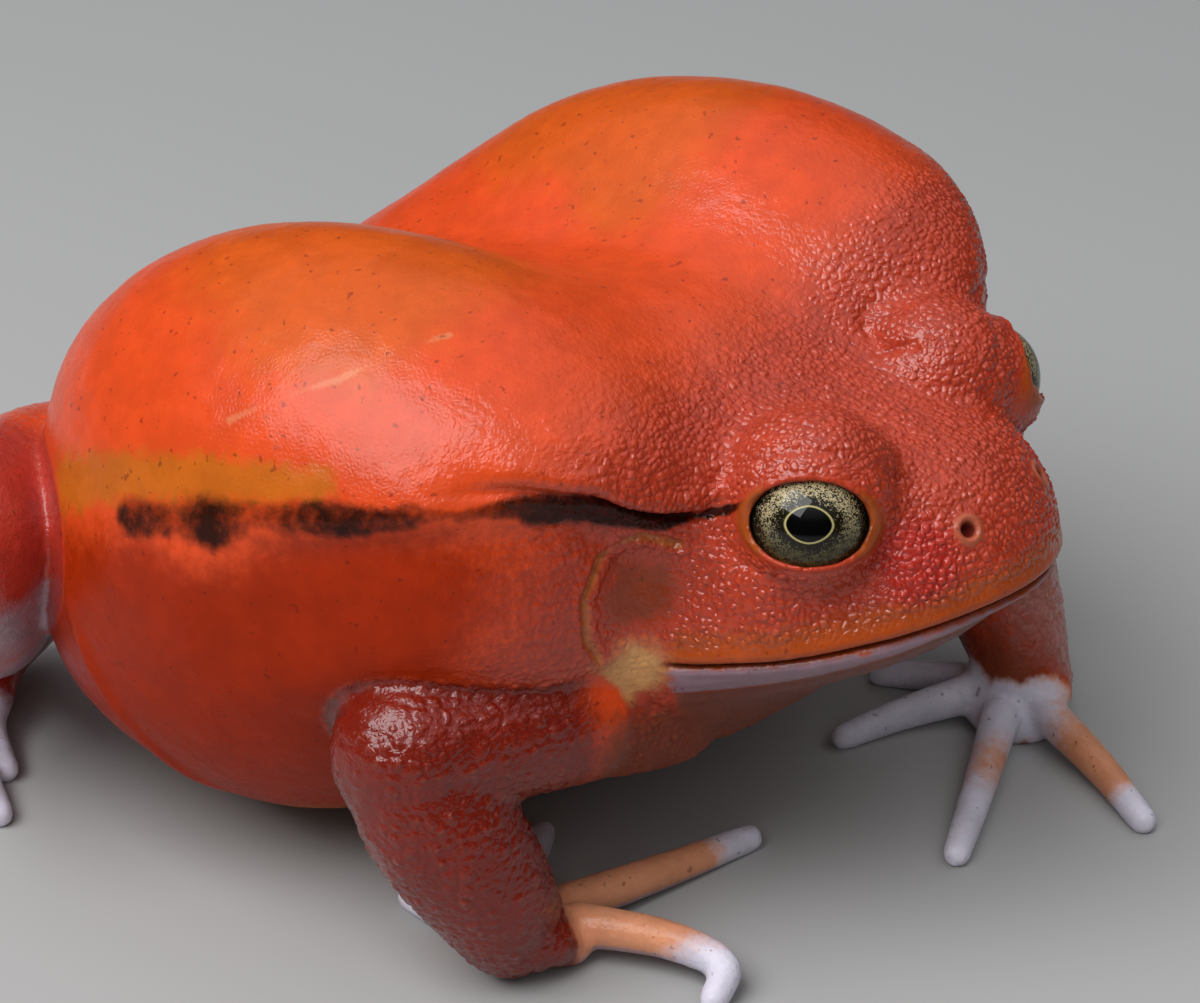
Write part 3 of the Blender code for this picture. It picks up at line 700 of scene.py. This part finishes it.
def relief(points, where):
    """Height of the fine forms over the smooth skin, in millimetres, and marks that go with them."""
    y, z = points[:, 1], points[:, 2]
    folded = right_side(points)
    reach, local = eye_reach(points)
    head, trunk, arm_share = where["head"], where["trunk"], where["arm"]
    front = jaw_front(points, trunk)
    drop = mouth_drop(points)
    lip = curve_value(LIP_HEIGHT, y, 1)
    # The groove along the mouth: sunk in the relief, and painted dark as shade in the skin's colour
    groove_and_painted_shade = front * np.exp(-(drop / 0.28) ** 2)
    upper_lip = front * np.exp(-((drop + 0.9) / 0.6) ** 2)
    lower_lip = front * np.exp(-((drop / lip - 0.5) / 0.34) ** 2)
    under_lip = front * np.exp(-((drop - lip - 0.35) / 0.4) ** 2)
    height = -0.7 * groove_and_painted_shade + 0.18 * upper_lip + 0.3 * lower_lip - 0.25 * under_lip

    gap = nostril_gap(points)
    height += 0.22 * np.exp(-((gap - 0.85) / 0.32) ** 2) - 1.0 * np.exp(-(gap / 0.52) ** 2)

    rim = np.exp(-((reach - 1.09) / 0.07) ** 2)
    furrow = np.exp(-((reach - 1.5) / 0.1) ** 2) * smooth_step(-local[:, 1], -1.0, 1.5)
    over = np.exp(-((reach - 1.75) / 0.12) ** 2) * smooth_step(local[:, 1], 0.5, 2.0)
    height += 0.14 * rim - 0.15 * furrow - 0.2 * over

    fold_gap, fold_along = path_gap(folded, FOLD_LINE)
    above = folded[:, 2] - curve_value(sorted_rows(FOLD_LINE), folded[:, 1], 2)
    close = (fold_gap < FOLD_REACH) * trunk * smooth_step(reach, 1.3, 2.0)
    close *= 1 - smooth_step(fold_along, 0.4, 0.95)
    ridge = np.exp(-((above - 1.0) / 1.0) ** 2)
    valley = np.exp(-((above + 0.3) / 0.45) ** 2)
    height += close * (0.65 * ridge - 0.8 * valley)

    ear = path_gap(folded, TYMPANUM_RIM)[0]
    height += trunk * (0.16 * np.exp(-((ear - 0.7) / 0.4) ** 2) - 0.25 * np.exp(-(ear / 0.35) ** 2))
    nape = path_gap(folded, NAPE_CREASE)[0]
    height -= 0.5 * trunk * np.exp(-(nape / 0.6) ** 2)
    groin = path_gap(folded, GROIN_FOLD)[0]
    height += 0.5 * trunk * np.exp(-(groin / 0.9) ** 2)

    bare = smooth_step(reach, 1.1, 1.35) * smooth_step(gap, 1.1, 1.7)
    bare *= 1 - 0.8 * near(folded, TYMPANUM, 2.0, 4.4)
    bare *= 1 - 0.6 * line_share(folded, CREAM_PATCH, 1.0, 5.0)
    lips = 1 - smooth_step(drop, -2.6, -1.0) * front
    lores = 0.7 * near(folded, LORES, 2.0, 6.0)
    on_head = head * bare * (0.2 + 0.8 * lips) * (1 - smooth_step(drop, -0.4, 0.4) * front)
    on_back = 0.7 * trunk * (1 - head) * smooth_step(z, 26, 40) * (1 - smooth_step(y, -14, 6))
    on_hind = 0.5 * where["leg"] + 0.25 * where["hand"]
    rough = np.clip(on_head + 0.3 * on_back + arm_share + on_hind, 0, 1)
    some = rough > 0.02
    small, large = np.zeros(len(points)), np.zeros(len(points))
    small[some] = pebbles(points[some], SMALL_STONE, 3)
    large[some] = pebbles(points[some], LARGE_STONE, 4)
    on_limb = np.maximum(arm_share, where["leg"])
    small_height = (0.16 - 0.06 * on_limb) * (1 + lores)
    large_height = 0.08 + 0.08 * on_limb
    height += rough * (small_height * (small - STONE_LEVEL) + large_height * (large - STONE_LEVEL))
    height += rough * 0.07 * soft_noise(points, 2.2, 5)
    height += 0.07 * trunk * soft_noise(points, 4.2, 8) * smooth_step(z, 8, 20)
    height += 0.03 * (1 - rough) * soft_noise(points, 0.9, 9) * trunk
    stones = 0.6 * small + 0.4 * large
    return height, {"stones": stones * rough, "rough": rough, "groove_and_painted_shade": groove_and_painted_shade}


def sorted_rows(path):
    """Places of a path ordered by y, as a table of y, x and z."""
    return sorted((y, x, z) for x, y, z in path)


# Markings

# The dark stripe from the eye back, its narrow start by the eye being painted shadow under the fold:
# place, half width and depth of colour
STRIPE_AND_FOLD_SHADOW = (
    ((-16.2, -26.9, 40.0), 0.20, 0.90),
    ((-15.9, -24.5, 38.3), 0.25, 0.95),
    ((-16.9, -23.1, 37.8), 0.30, 0.95),
    ((-20.0, -20.7, 38.3), 0.85, 1.00),
    ((-23.4, -18.6, 39.4), 1.30, 1.00),
    ((-26.0, -16.8, 40.4), 1.20, 0.95),
    ((-28.2, -14.8, 41.1), 0.80, 0.80),
    ((-30.6, -12.9, 41.1), 0.50, 0.55),
    ((-32.6, -10.8, 40.9), 0.50, 0.50),
    ((-34.1, -8.2, 40.6), 0.75, 0.65),
    ((-35.8, -4.0, 40.0), 1.20, 0.80),
    ((-36.5, -0.8, 39.6), 1.10, 0.65),
    ((-37.4, 3.4, 38.5), 1.00, 0.50),
    ((-37.9, 6.9, 37.1), 1.80, 0.90),
    ((-37.9, 9.9, 36.7), 1.30, 0.55),
    ((-37.7, 15.2, 35.0), 1.20, 0.75),
)
OLIVE_BAND = ((-35.3, 24.4, 34.2), (-36.3, 16.2, 38.0), (-36.4, 8.9, 40.2), (-36.0, -1.9, 42.2))
BACK_LINE = ((-34.4, 7.5, 44.3), (-30.4, 0.0, 48.2), (-23.8, -5.3, 50.7))
# How far the white reaches up from the tip of each finger
PALE_FINGERS = ((FINGERS_RIGHT, (6.0, 6.0, 6.0, 7.0)), (FINGERS_LEFT, (15.0, 17.0, 14.0, 5.0)))
PALE_TOES = 12.0
PALE_PALM = (23.0, -27.0, 3.0)


def squashed(places):
    """Makes distances across the body count for little, so that paths follow its side."""
    return np.asarray(places, float) * (0.35, 1.0, 1.0)


def marks(points, normals, where):
    """Shares from 0 to 1 that say where each colour lies."""
    x, y, z = points.T
    folded = right_side(points)
    wave = soft_noise(points, 7.0, 21)
    fine = soft_noise(points, 2.2, 22)
    trunk, head = where["trunk"], where["head"]
    reach, local = eye_reach(points)
    drop = mouth_drop(points)
    front = jaw_front(points, trunk)
    under = curve_value(((-45.0, 24.0), (-24.0, 15.0), (-10.0, 10.0), (10.0, 5.0), (45.0, 7.0)), y, 1)
    belly = trunk * (1 - smooth_step(z + 1.6 * wave, under - 5, under + 5))
    side = curve_value(((-26.0, 34.0), (-10.0, 38.0), (10.0, 34.0), (45.0, 26.0)), y, 1)
    behind = np.maximum(1 - head, 1 - smooth_step(z, 20, 27))
    flank = trunk * behind * (1 - smooth_step(z + 2.0 * wave, side - 4, side + 5))
    gap, along = path_gap(squashed(folded), squashed([row[0] for row in STRIPE_AND_FOLD_SHADOW]))
    gap += 0.35 * fine + 0.2 * soft_noise(points, 0.9, 23)
    stations = np.linspace(0, 1, len(STRIPE_AND_FOLD_SHADOW))
    width = np.interp(along, stations, [row[1] for row in STRIPE_AND_FOLD_SHADOW])
    depth = np.interp(along, stations, [row[2] for row in STRIPE_AND_FOLD_SHADOW])
    # The stripe: a real dark band along the side, and near the eye painted shadow under the fold
    stripe_and_fold_shadow = depth * (1 - smooth_step(gap, 0.6 * width, 1.8 * width + 0.1)) * smooth_step(reach, 1.0, 1.3)
    finger_tips = np.zeros(len(points))
    for fingers, reaches in PALE_FINGERS:
        for finger, length in zip(fingers, reaches):
            finger_tips = np.maximum(finger_tips, near(points, finger[-1], 0.3 * length, 1.15 * length))
    finger_tips = np.maximum(finger_tips, near(points, PALE_PALM, 2.5, 11.0))
    for toe in TOES:
        tip = (-toe[-1][0], *toe[-1][1:])
        finger_tips = np.maximum(finger_tips, near(folded, tip, 0.4 * PALE_TOES, PALE_TOES))
    inner_side = smooth_step(-normals[:, 2], 0.0, 0.7) * (where["leg"] + where["hand"] + where["toes"])
    low_lid = smooth_step(np.abs(local[:, 0]), 2.6, 4.4)
    gap = nostril_gap(points)
    lip = curve_value(LIP_HEIGHT, y, 1)
    blotch = np.maximum(smooth_step(fine + wave, -0.6, 0.1), smooth_step(y, -38.0, -30.0))
    leg_start = np.maximum(smooth_step(np.abs(x) + 2 * wave, 22, 35), 1 - smooth_step(z, 10, 17))
    # Front of the left forearm, given a rosy tint and painted sheen that lightens it
    left_front = (x > 0) * (1 - smooth_step(z, 14, 26)) * smooth_step(-normals[:, 1], -0.3, 0.5)
    matt = np.maximum.reduce([0.85 * flank, 0.95 * belly, 0.8 * trunk * stripe_and_fold_shadow, 0.6 * where["chest_painted_shade"]])
    return {
        "gloss": 1 - matt,
        "head": head,
        "flank": flank,
        "belly": belly,
        # The throat under the lower lip, where its colour is painted dark as shade
        "throat_painted_shade": front * smooth_step(drop - lip, -0.3, 0.9),
        "orange": trunk * smooth_step(z + 2 * wave, 44, 52) * smooth_step(y, -12, 2),
        "snout": head * front * smooth_step(drop, -4.5, -1.5),
        "lores": head * near(folded, LORES, 1.5, 5.0),
        "olive": trunk * line_share(squashed(folded), squashed(OLIVE_BAND), 0.1, 3.6 + 1.6 * wave),
        "stripe_and_fold_shadow": trunk * stripe_and_fold_shadow,
        "ear": trunk * near(folded, TYMPANUM, 0.5, 4.8 + fine),
        "ear_rim": trunk * line_share(folded, TYMPANUM_RIM, 0.1, 0.7),
        "cream": trunk * line_share(folded, CREAM_PATCH, 0.3, 4.6 + wave + fine),
        "lip": front * smooth_step(drop, 0.1, 0.5) * (1 - smooth_step(drop - lip, -0.3, 0.4)) * blotch,
        "lid": smooth_step(-reach, -1.3, -1.05) * low_lid,
        # Painted shade along the lid margin, where the lids meet the eyeball
        "eye_edge_painted_shade": smooth_step(-reach, -1.0, -0.93),
        # Painted highlight on the raised rim of the nostril
        "nose_rim_painted_highlight": smooth_step(-gap, -1.5, -1.0),
        # Painted shade in the nostril pit
        "nose_pit_painted_shade": smooth_step(-gap, -0.72, -0.5),
        # Painted shade on the chest
        "chest_painted_shade": where["chest_painted_shade"],
        "arm": where["arm"],
        "rosy_and_painted_sheen": where["arm"] * left_front,
        "hand": where["hand"],
        "pale": finger_tips * (where["hand"] + where["toes"]),
        "leg": np.maximum(where["leg"] * leg_start, where["toes"]),
        "mauve": inner_side,
        "back_line": trunk * line_share(folded, BACK_LINE, 0.05, 0.5),
    }


# Materials

RANGE_SOCKETS = ("From Min", "From Max", "To Min", "To Max")


class Nodes:
    """Short ways to add and join the nodes of one material."""

    def __init__(self, name):
        self.material = bpy.data.materials.new(name)
        self.material.use_nodes = True
        self.tree = self.material.node_tree
        self.shader = self.tree.nodes["Principled BSDF"]

    def add(self, kind, **settings):
        made = self.tree.nodes.new(kind)
        for key, value in settings.items():
            setattr(made, key, value)
        return made

    def join(self, source, target):
        self.tree.links.new(source, target)

    def share(self, name):
        return self.add("ShaderNodeAttribute", attribute_name=name).outputs["Fac"]

    def noise(self, scale, detail=3.0, place=None, roughness=0.5):
        made = self.add("ShaderNodeTexNoise")
        made.inputs["Scale"].default_value = scale
        made.inputs["Detail"].default_value = detail
        made.inputs["Roughness"].default_value = roughness
        self.join(place or self.place(), made.inputs["Vector"])
        return made.outputs["Fac"]

    def place(self):
        return self.add("ShaderNodeTexCoord").outputs["Object"]

    def math(self, operation, a, b=None):
        made = self.add("ShaderNodeMath", operation=operation)
        for socket, value in zip(made.inputs, (a, b)):
            if value is None:
                continue
            if isinstance(value, (int, float)):
                socket.default_value = value
            else:
                self.join(value, socket)
        return made.outputs[0]

    def remap(self, value, low, high, to_low=0.0, to_high=1.0):
        """Passes a value smoothly from one range to another."""
        made = self.add("ShaderNodeMapRange", interpolation_type="SMOOTHSTEP")
        self.join(value, made.inputs["Value"])
        for socket, number in zip(RANGE_SOCKETS, (low, high, to_low, to_high)):
            made.inputs[socket].default_value = number
        return made.outputs["Result"]

    def mix(self, share, a, b, blend="MIX"):
        made = self.add("ShaderNodeMix", data_type="RGBA", blend_type=blend)
        sockets = made.inputs
        if isinstance(share, (int, float)):
            sockets["Factor"].default_value = share
        else:
            self.join(share, sockets["Factor"])
        for socket, colour in ((sockets[6], a), (sockets[7], b)):
            if isinstance(colour, tuple):
                socket.default_value = (*colour, 1.0)
            else:
                self.join(colour, socket)
        return made.outputs[2]


BASE_COLOUR = (0.62, 0.060, 0.010)
# Layers of colour from the lowest up: mark, colour, how strong, how ragged its edge
LAYERS = (
    ("orange", (0.66, 0.10, 0.008), 0.9, 0.3),
    ("flank", (0.37, 0.022, 0.001), 0.95, 0.35),
    ("leg", (0.45, 0.035, 0.02), 1.0, 0.2),
    ("belly", (0.40, 0.135, 0.026), 1.0, 0.3),
    ("head", (0.46, 0.043, 0.016), 0.85, 0.3),
    ("snout", (0.45, 0.075, 0.006), 0.8, 0.4),
    ("lores", (0.52, 0.016, 0.010), 0.7, 0.3),
    # Painted shade: the throat is coloured dark brownish-mauve to stand for the shade under the jaw
    ("throat_painted_shade", (0.15, 0.05, 0.04), 0.9, 0.3),
    # Painted shade: the chest is coloured dark brown to stand for the shade between the arms
    ("chest_painted_shade", (0.20, 0.045, 0.02), 0.9, 0.3),
    ("olive", (0.42, 0.17, 0.006), 0.55, 0.6),
    # Partly a real dark band, partly painted shadow under the fold where the stripe starts by the eye
    ("stripe_and_fold_shadow", (0.010, 0.003, 0.001), 0.97, 0.3),
    ("ear", (0.17, 0.040, 0.012), 0.7, 0.4),
    ("ear_rim", (0.56, 0.22, 0.035), 0.45, 0.3),
    ("cream", (0.70, 0.42, 0.14), 0.7, 0.35),
    ("lid", (0.30, 0.10, 0.006), 0.5, 0.25),
    # Painted highlight: the raised nostril rim lightened pinkish as if catching light
    ("nose_rim_painted_highlight", (0.46, 0.17, 0.09), 0.5, 0.3),
    ("arm", (0.21, 0.011, 0.002), 1.0, 0.2),
    # Partly a rosy tint, partly painted sheen standing for sky light on the front of the left forearm
    ("rosy_and_painted_sheen", (0.56, 0.22, 0.18), 0.75, 0.4),
    ("hand", (0.84, 0.36, 0.19), 0.9, 0.3),
    ("mauve", (0.42, 0.30, 0.36), 0.8, 0.2),
    ("pale", (0.78, 0.76, 0.88), 0.95, 0.35),
    ("lip", (0.30, 0.21, 0.26), 0.9, 0.6),
    ("back_line", (0.80, 0.35, 0.16), 0.35, 0.3),
    # Painted shade: the mouth groove coloured nearly black as shade in the crease
    ("groove_and_painted_shade", (0.05, 0.010, 0.006), 0.85, 0.0),
    # Painted shade: the nostril pit coloured near-black as shade in the hole
    ("nose_pit_painted_shade", (0.10, 0.006, 0.005), 0.95, 0.0),
    # Painted shade: a near-black line where the lids meet the eyeball
    ("eye_edge_painted_shade", (0.012, 0.008, 0.004), 0.95, 0.0),
)


def skin_material():
    """Wet skin: colours in layers, with painted highlights on granule tips and painted shade in the
    furrows between them, a clear coat and fine pores. Noise scales are per metre.
    """
    made = Nodes("frog_skin_wet")
    place = made.place()
    ragged = made.math("SUBTRACT", made.noise(900.0, 4.0, place, 0.6), 0.5)
    mottle = made.noise(350.0, 5.0, place, 0.6)
    speck = made.noise(2600.0, 3.0, place, 0.6)
    colour = made.mix(made.remap(mottle, 0.35, 0.7), BASE_COLOUR, tuple(c * 1.18 for c in BASE_COLOUR))
    for mark, tint, strength, rough_edge in LAYERS:
        share = made.share(mark)
        if rough_edge:
            shifted = made.math("ADD", share, made.math("MULTIPLY", ragged, 2.2 * rough_edge))
            share = made.math("MULTIPLY", made.remap(shifted, 0.12, 0.88), made.remap(share, 0.0, 0.1))
        shade = made.mix(made.remap(mottle, 0.3, 0.75), tuple(0.82 * c for c in tint), tint)
        colour = made.mix(made.math("MULTIPLY", share, strength), colour, shade)
    stones = made.share("stones")
    rough = made.share("rough")
    # Painted highlight: granule tips lightened pinkish to stand for wet glints
    painted_highlight_tips = made.math("MULTIPLY", made.remap(stones, 0.4, 1.0), made.remap(rough, 0.1, 1.0))
    colour = made.mix(made.math("MULTIPLY", painted_highlight_tips, 0.12), colour, (0.80, 0.24, 0.16))
    # Painted shade: the furrows between granules darkened as shade
    painted_shade_furrows = made.math("MULTIPLY", made.remap(stones, 0.25, 0.0), made.remap(rough, 0.2, 1.0))
    colour = made.mix(made.math("MULTIPLY", painted_shade_furrows, 0.30), colour, (0.16, 0.006, 0.003))
    freckle = made.remap(made.noise(1500.0, 2.0, place, 0.4), 0.68, 0.74)
    colour = made.mix(made.math("MULTIPLY", freckle, 0.5), colour, (0.10, 0.012, 0.005))
    shader = made.shader
    made.join(colour, shader.inputs["Base Color"])
    made.join(made.remap(speck, 0.3, 0.7, 0.34, 0.50), shader.inputs["Roughness"])
    shader.inputs["Subsurface Weight"].default_value = 0.08
    shader.inputs["Subsurface Radius"].default_value = (1.0, 0.30, 0.15)
    shader.inputs["Subsurface Scale"].default_value = 0.0012
    gloss = made.share("gloss")
    coat = made.math("MULTIPLY", gloss, made.remap(rough, 0.0, 0.6, 0.44, 1.0))
    made.join(coat, shader.inputs["Coat Weight"])
    shader.inputs["Coat Roughness"].default_value = 0.19
    shader.inputs["Specular IOR Level"].default_value = 0.08
    grain = made.add("ShaderNodeTexVoronoi", feature="DISTANCE_TO_EDGE")
    grain.inputs["Scale"].default_value = 2400.0
    made.join(place, grain.inputs["Vector"])
    grain_height = made.remap(grain.outputs["Distance"], 0.0, 0.35)
    surface = made.math("ADD", made.math("MULTIPLY", grain_height, 0.6), made.math("MULTIPLY", speck, 0.8))
    surface = made.math("MULTIPLY", surface, made.remap(rough, 0.0, 0.6, 0.45, 1.0))
    bump = made.add("ShaderNodeBump")
    bump.inputs["Strength"].default_value = 0.55
    bump.inputs["Distance"].default_value = 0.00006
    made.join(surface, bump.inputs["Height"])
    made.join(bump.outputs["Normal"], shader.inputs["Normal"])
    made.join(bump.outputs["Normal"], shader.inputs["Coat Normal"])
    return made.material


# Half sizes of the pupil, and the power that sets how pointed its ends are
PUPIL = (1.66, 1.28)
PUPIL_SQUARENESS = 1.8


def eye_material():
    """A gold-flecked iris, darkened toward the bottom by painted shade and darker at its edge, round a
    black pupil with a fine gold ring.
    """
    made = Nodes("frog_eye_wet")
    place = made.add("ShaderNodeAttribute", attribute_name="gaze").outputs["Vector"]
    split = made.add("ShaderNodeSeparateXYZ")
    made.join(place, split.inputs[0])
    u, v = split.outputs[:2]
    parts = []
    for value, half in ((u, PUPIL[0]), (v, PUPIL[1])):
        share = made.math("DIVIDE", made.math("ABSOLUTE", value), half / EYE_RADIUS)
        parts.append(made.math("POWER", share, PUPIL_SQUARENESS))
    from_axis = made.math("POWER", made.math("ADD", *parts), 1 / PUPIL_SQUARENESS)
    squares = [made.math("MULTIPLY", value, value) for value in (u, v)]
    edge = made.math("SQRT", made.math("ADD", *squares))
    broad = made.math("MULTIPLY", made.noise(12.0, 4.0, place, 0.6), 0.35)
    fine = made.math("MULTIPLY", made.noise(42.0, 3.0, place, 0.65), 0.65)
    flakes = made.math("ADD", broad, fine)
    outward = made.remap(from_axis, 1.15, 1.9, -0.10, 0.03)
    inward = made.remap(edge, 0.66, 0.86, 0.0, -0.10)
    flakes = made.remap(made.math("ADD", made.math("ADD", flakes, outward), inward), 0.49, 0.55)
    # Painted shade: the iris gold darkens toward the bottom of the eye
    gold = made.mix(made.remap(v, -0.5, 0.5), (0.085, 0.07, 0.025), (0.52, 0.43, 0.24))
    colour = made.mix(flakes, (0.010, 0.008, 0.004), gold)
    colour = made.mix(made.remap(edge, 0.78, 0.88), colour, (0.006, 0.005, 0.004))
    ring = made.math("MULTIPLY", made.remap(from_axis, 1.0, 1.04), made.remap(from_axis, 1.15, 1.08))
    colour = made.mix(made.math("MULTIPLY", ring, 0.9), colour, (0.50, 0.42, 0.17))
    colour = made.mix(made.remap(from_axis, 1.03, 0.97), colour, (0.0015, 0.0015, 0.0015))
    shader = made.shader
    made.join(colour, shader.inputs["Base Color"])
    shader.inputs["Roughness"].default_value = 0.5
    shader.inputs["Specular IOR Level"].default_value = 0.0
    shader.inputs["Coat Weight"].default_value = 1.0
    shader.inputs["Coat IOR"].default_value = 1.37
    shader.inputs["Coat Roughness"].default_value = 0.02
    return made.material


# Pieces


def store(item, name, values):
    item.data.attributes.new(name, "FLOAT", "POINT").data.foreach_set("value", values.astype(np.float32))


def make_skin():
    skin = shaped_skin()
    points = points_of(skin)
    front = (points[:, 1] < -9) & (points[:, 2] > 1.5)
    refine(skin, front)
    points = points_of(skin)
    refine(skin, (points[:, 1] < NECK_Y - 1) & (points[:, 2] > 25))
    even = skin.modifiers.new("smooth", "SMOOTH")
    even.factor = 0.5
    even.iterations = REFINED_SMOOTHING
    apply(skin)
    points, normals = points_of(skin), normals_of(skin)
    where = regions(points)
    height, forms = relief(points, where)
    for name, values in {**marks(points, normals, where), **forms}.items():
        store(skin, name, values)
    points = points + normals * height[:, None]
    points[:, 2] = np.maximum(points[:, 2], 0.0)
    points[:, 1] += CENTRE_SHIFT_Y
    place_points(skin, points)
    skin.data.shade_smooth()
    skin.data.materials.clear()
    skin.data.materials.append(skin_material())
    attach(skin, "root")
    flesh = [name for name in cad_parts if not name.endswith("_eye")]
    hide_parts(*flesh)
    return skin


def make_eye(side, name, material):
    stretch = Matrix.Diagonal((1.0, 1.0, EYE_STRETCH, 1.0))
    eye = ball(EYE_RADIUS, eye_frame(side) @ stretch)
    eye.name = name + "ball"
    turn = np.array(eye_frame(side))
    points = points_of(eye)
    local = (points - turn[:3, 3] / MM) @ turn[:3, :3] / EYE_RADIUS
    gaze = eye.data.attributes.new("gaze", "FLOAT_VECTOR", "POINT")
    gaze.data.foreach_set("vector", local.astype(np.float32).ravel())
    points[:, 1] += CENTRE_SHIFT_Y
    place_points(eye, points)
    eye.data.shade_smooth()
    eye.data.materials.append(material)
    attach(eye, "root")
    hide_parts(name)


# Floor, light and camera

CAMERA_PLACE = (-217.3, -157.7, 166.5)
CAMERA_AZIMUTH = -55.0
CAMERA_ELEVATION = 28.0
CAMERA_LENS = 109.2
# The sky's brightness by the height of the line of sight: from, to, least, most
SKY_RISE = (0.35, 1.0, 0.02, 0.8)


def make_floor():
    bpy.ops.mesh.primitive_plane_add(size=6.0, location=(0, 0, -0.00002))
    floor = bpy.context.object
    floor.name = "floor"
    made = Nodes("floor_pale")
    made.shader.inputs["Base Color"].default_value = (0.41, 0.405, 0.395, 1.0)
    made.shader.inputs["Roughness"].default_value = 0.8
    floor.data.materials.append(made.material)


def area_light(name, way, reach, size, power, colour=(1, 1, 1)):
    """A rectangular light facing the frog from a direction and a distance in metres."""
    data = bpy.data.lights.new(name, "AREA")
    data.shape = "RECTANGLE"
    data.size, data.size_y = size
    data.energy = power
    data.color = colour
    lamp = bpy.data.objects.new(name, data)
    way = Vector(way).normalized()
    lamp.location = Vector((0, 0, 0.03)) + way * reach
    lamp.rotation_mode = "QUATERNION"
    lamp.rotation_quaternion = way.to_track_quat("Z", "Y")
    bpy.context.scene.collection.objects.link(lamp)
    return lamp


def make_light():
    """A soft light overhead and a dim one from the front, with a faint sky that darkens downward."""
    world = bpy.data.worlds.new("studio")
    world.use_nodes = True
    tree = world.node_tree
    background = tree.nodes["Background"]
    background.inputs["Color"].default_value = (0.92, 0.95, 1.0, 1.0)
    way = tree.nodes.new("ShaderNodeTexCoord")
    split = tree.nodes.new("ShaderNodeSeparateXYZ")
    rise = tree.nodes.new("ShaderNodeMapRange")
    rise.interpolation_type = "SMOOTHSTEP"
    for socket, number in zip(RANGE_SOCKETS, SKY_RISE):
        rise.inputs[socket].default_value = number
    tree.links.new(way.outputs["Generated"], split.inputs[0])
    tree.links.new(split.outputs[2], rise.inputs["Value"])
    tree.links.new(rise.outputs["Result"], background.inputs["Strength"])
    bpy.context.scene.world = world
    area_light("sky", (-0.56, 0.16, 0.81), 0.55, (0.50, 0.40), 3.2, (0.97, 0.98, 1.0))
    front = area_light("front", (-0.8, -0.7, 0.55), 0.8, (0.5, 0.5), 0.6)
    front.visible_glossy = False


def make_camera():
    data = bpy.data.cameras.new("camera")
    data.lens = CAMERA_LENS
    data.sensor_width = 36.0
    data.clip_start = 0.01
    data.clip_end = 20.0
    camera = bpy.data.objects.new("camera", data)
    azimuth, elevation = math.radians(CAMERA_AZIMUTH), math.radians(CAMERA_ELEVATION)
    back = Vector((math.sin(azimuth) * math.cos(elevation), -math.cos(azimuth) * math.cos(elevation),
                   math.sin(elevation)))
    camera.location = Vector(CAMERA_PLACE) * MM
    camera.rotation_mode = "QUATERNION"
    camera.rotation_quaternion = back.to_track_quat("Z", "Y")
    bpy.context.scene.collection.objects.link(camera)
    bpy.context.scene.camera = camera


def main():
    bpy.context.scene.view_settings.view_transform = "Standard"
    make_camera()
    make_skin()
    shared = eye_material()
    make_eye(-1, "right_eye", shared)
    make_eye(1, "left_eye", shared)
    make_floor()
    make_light()


main()
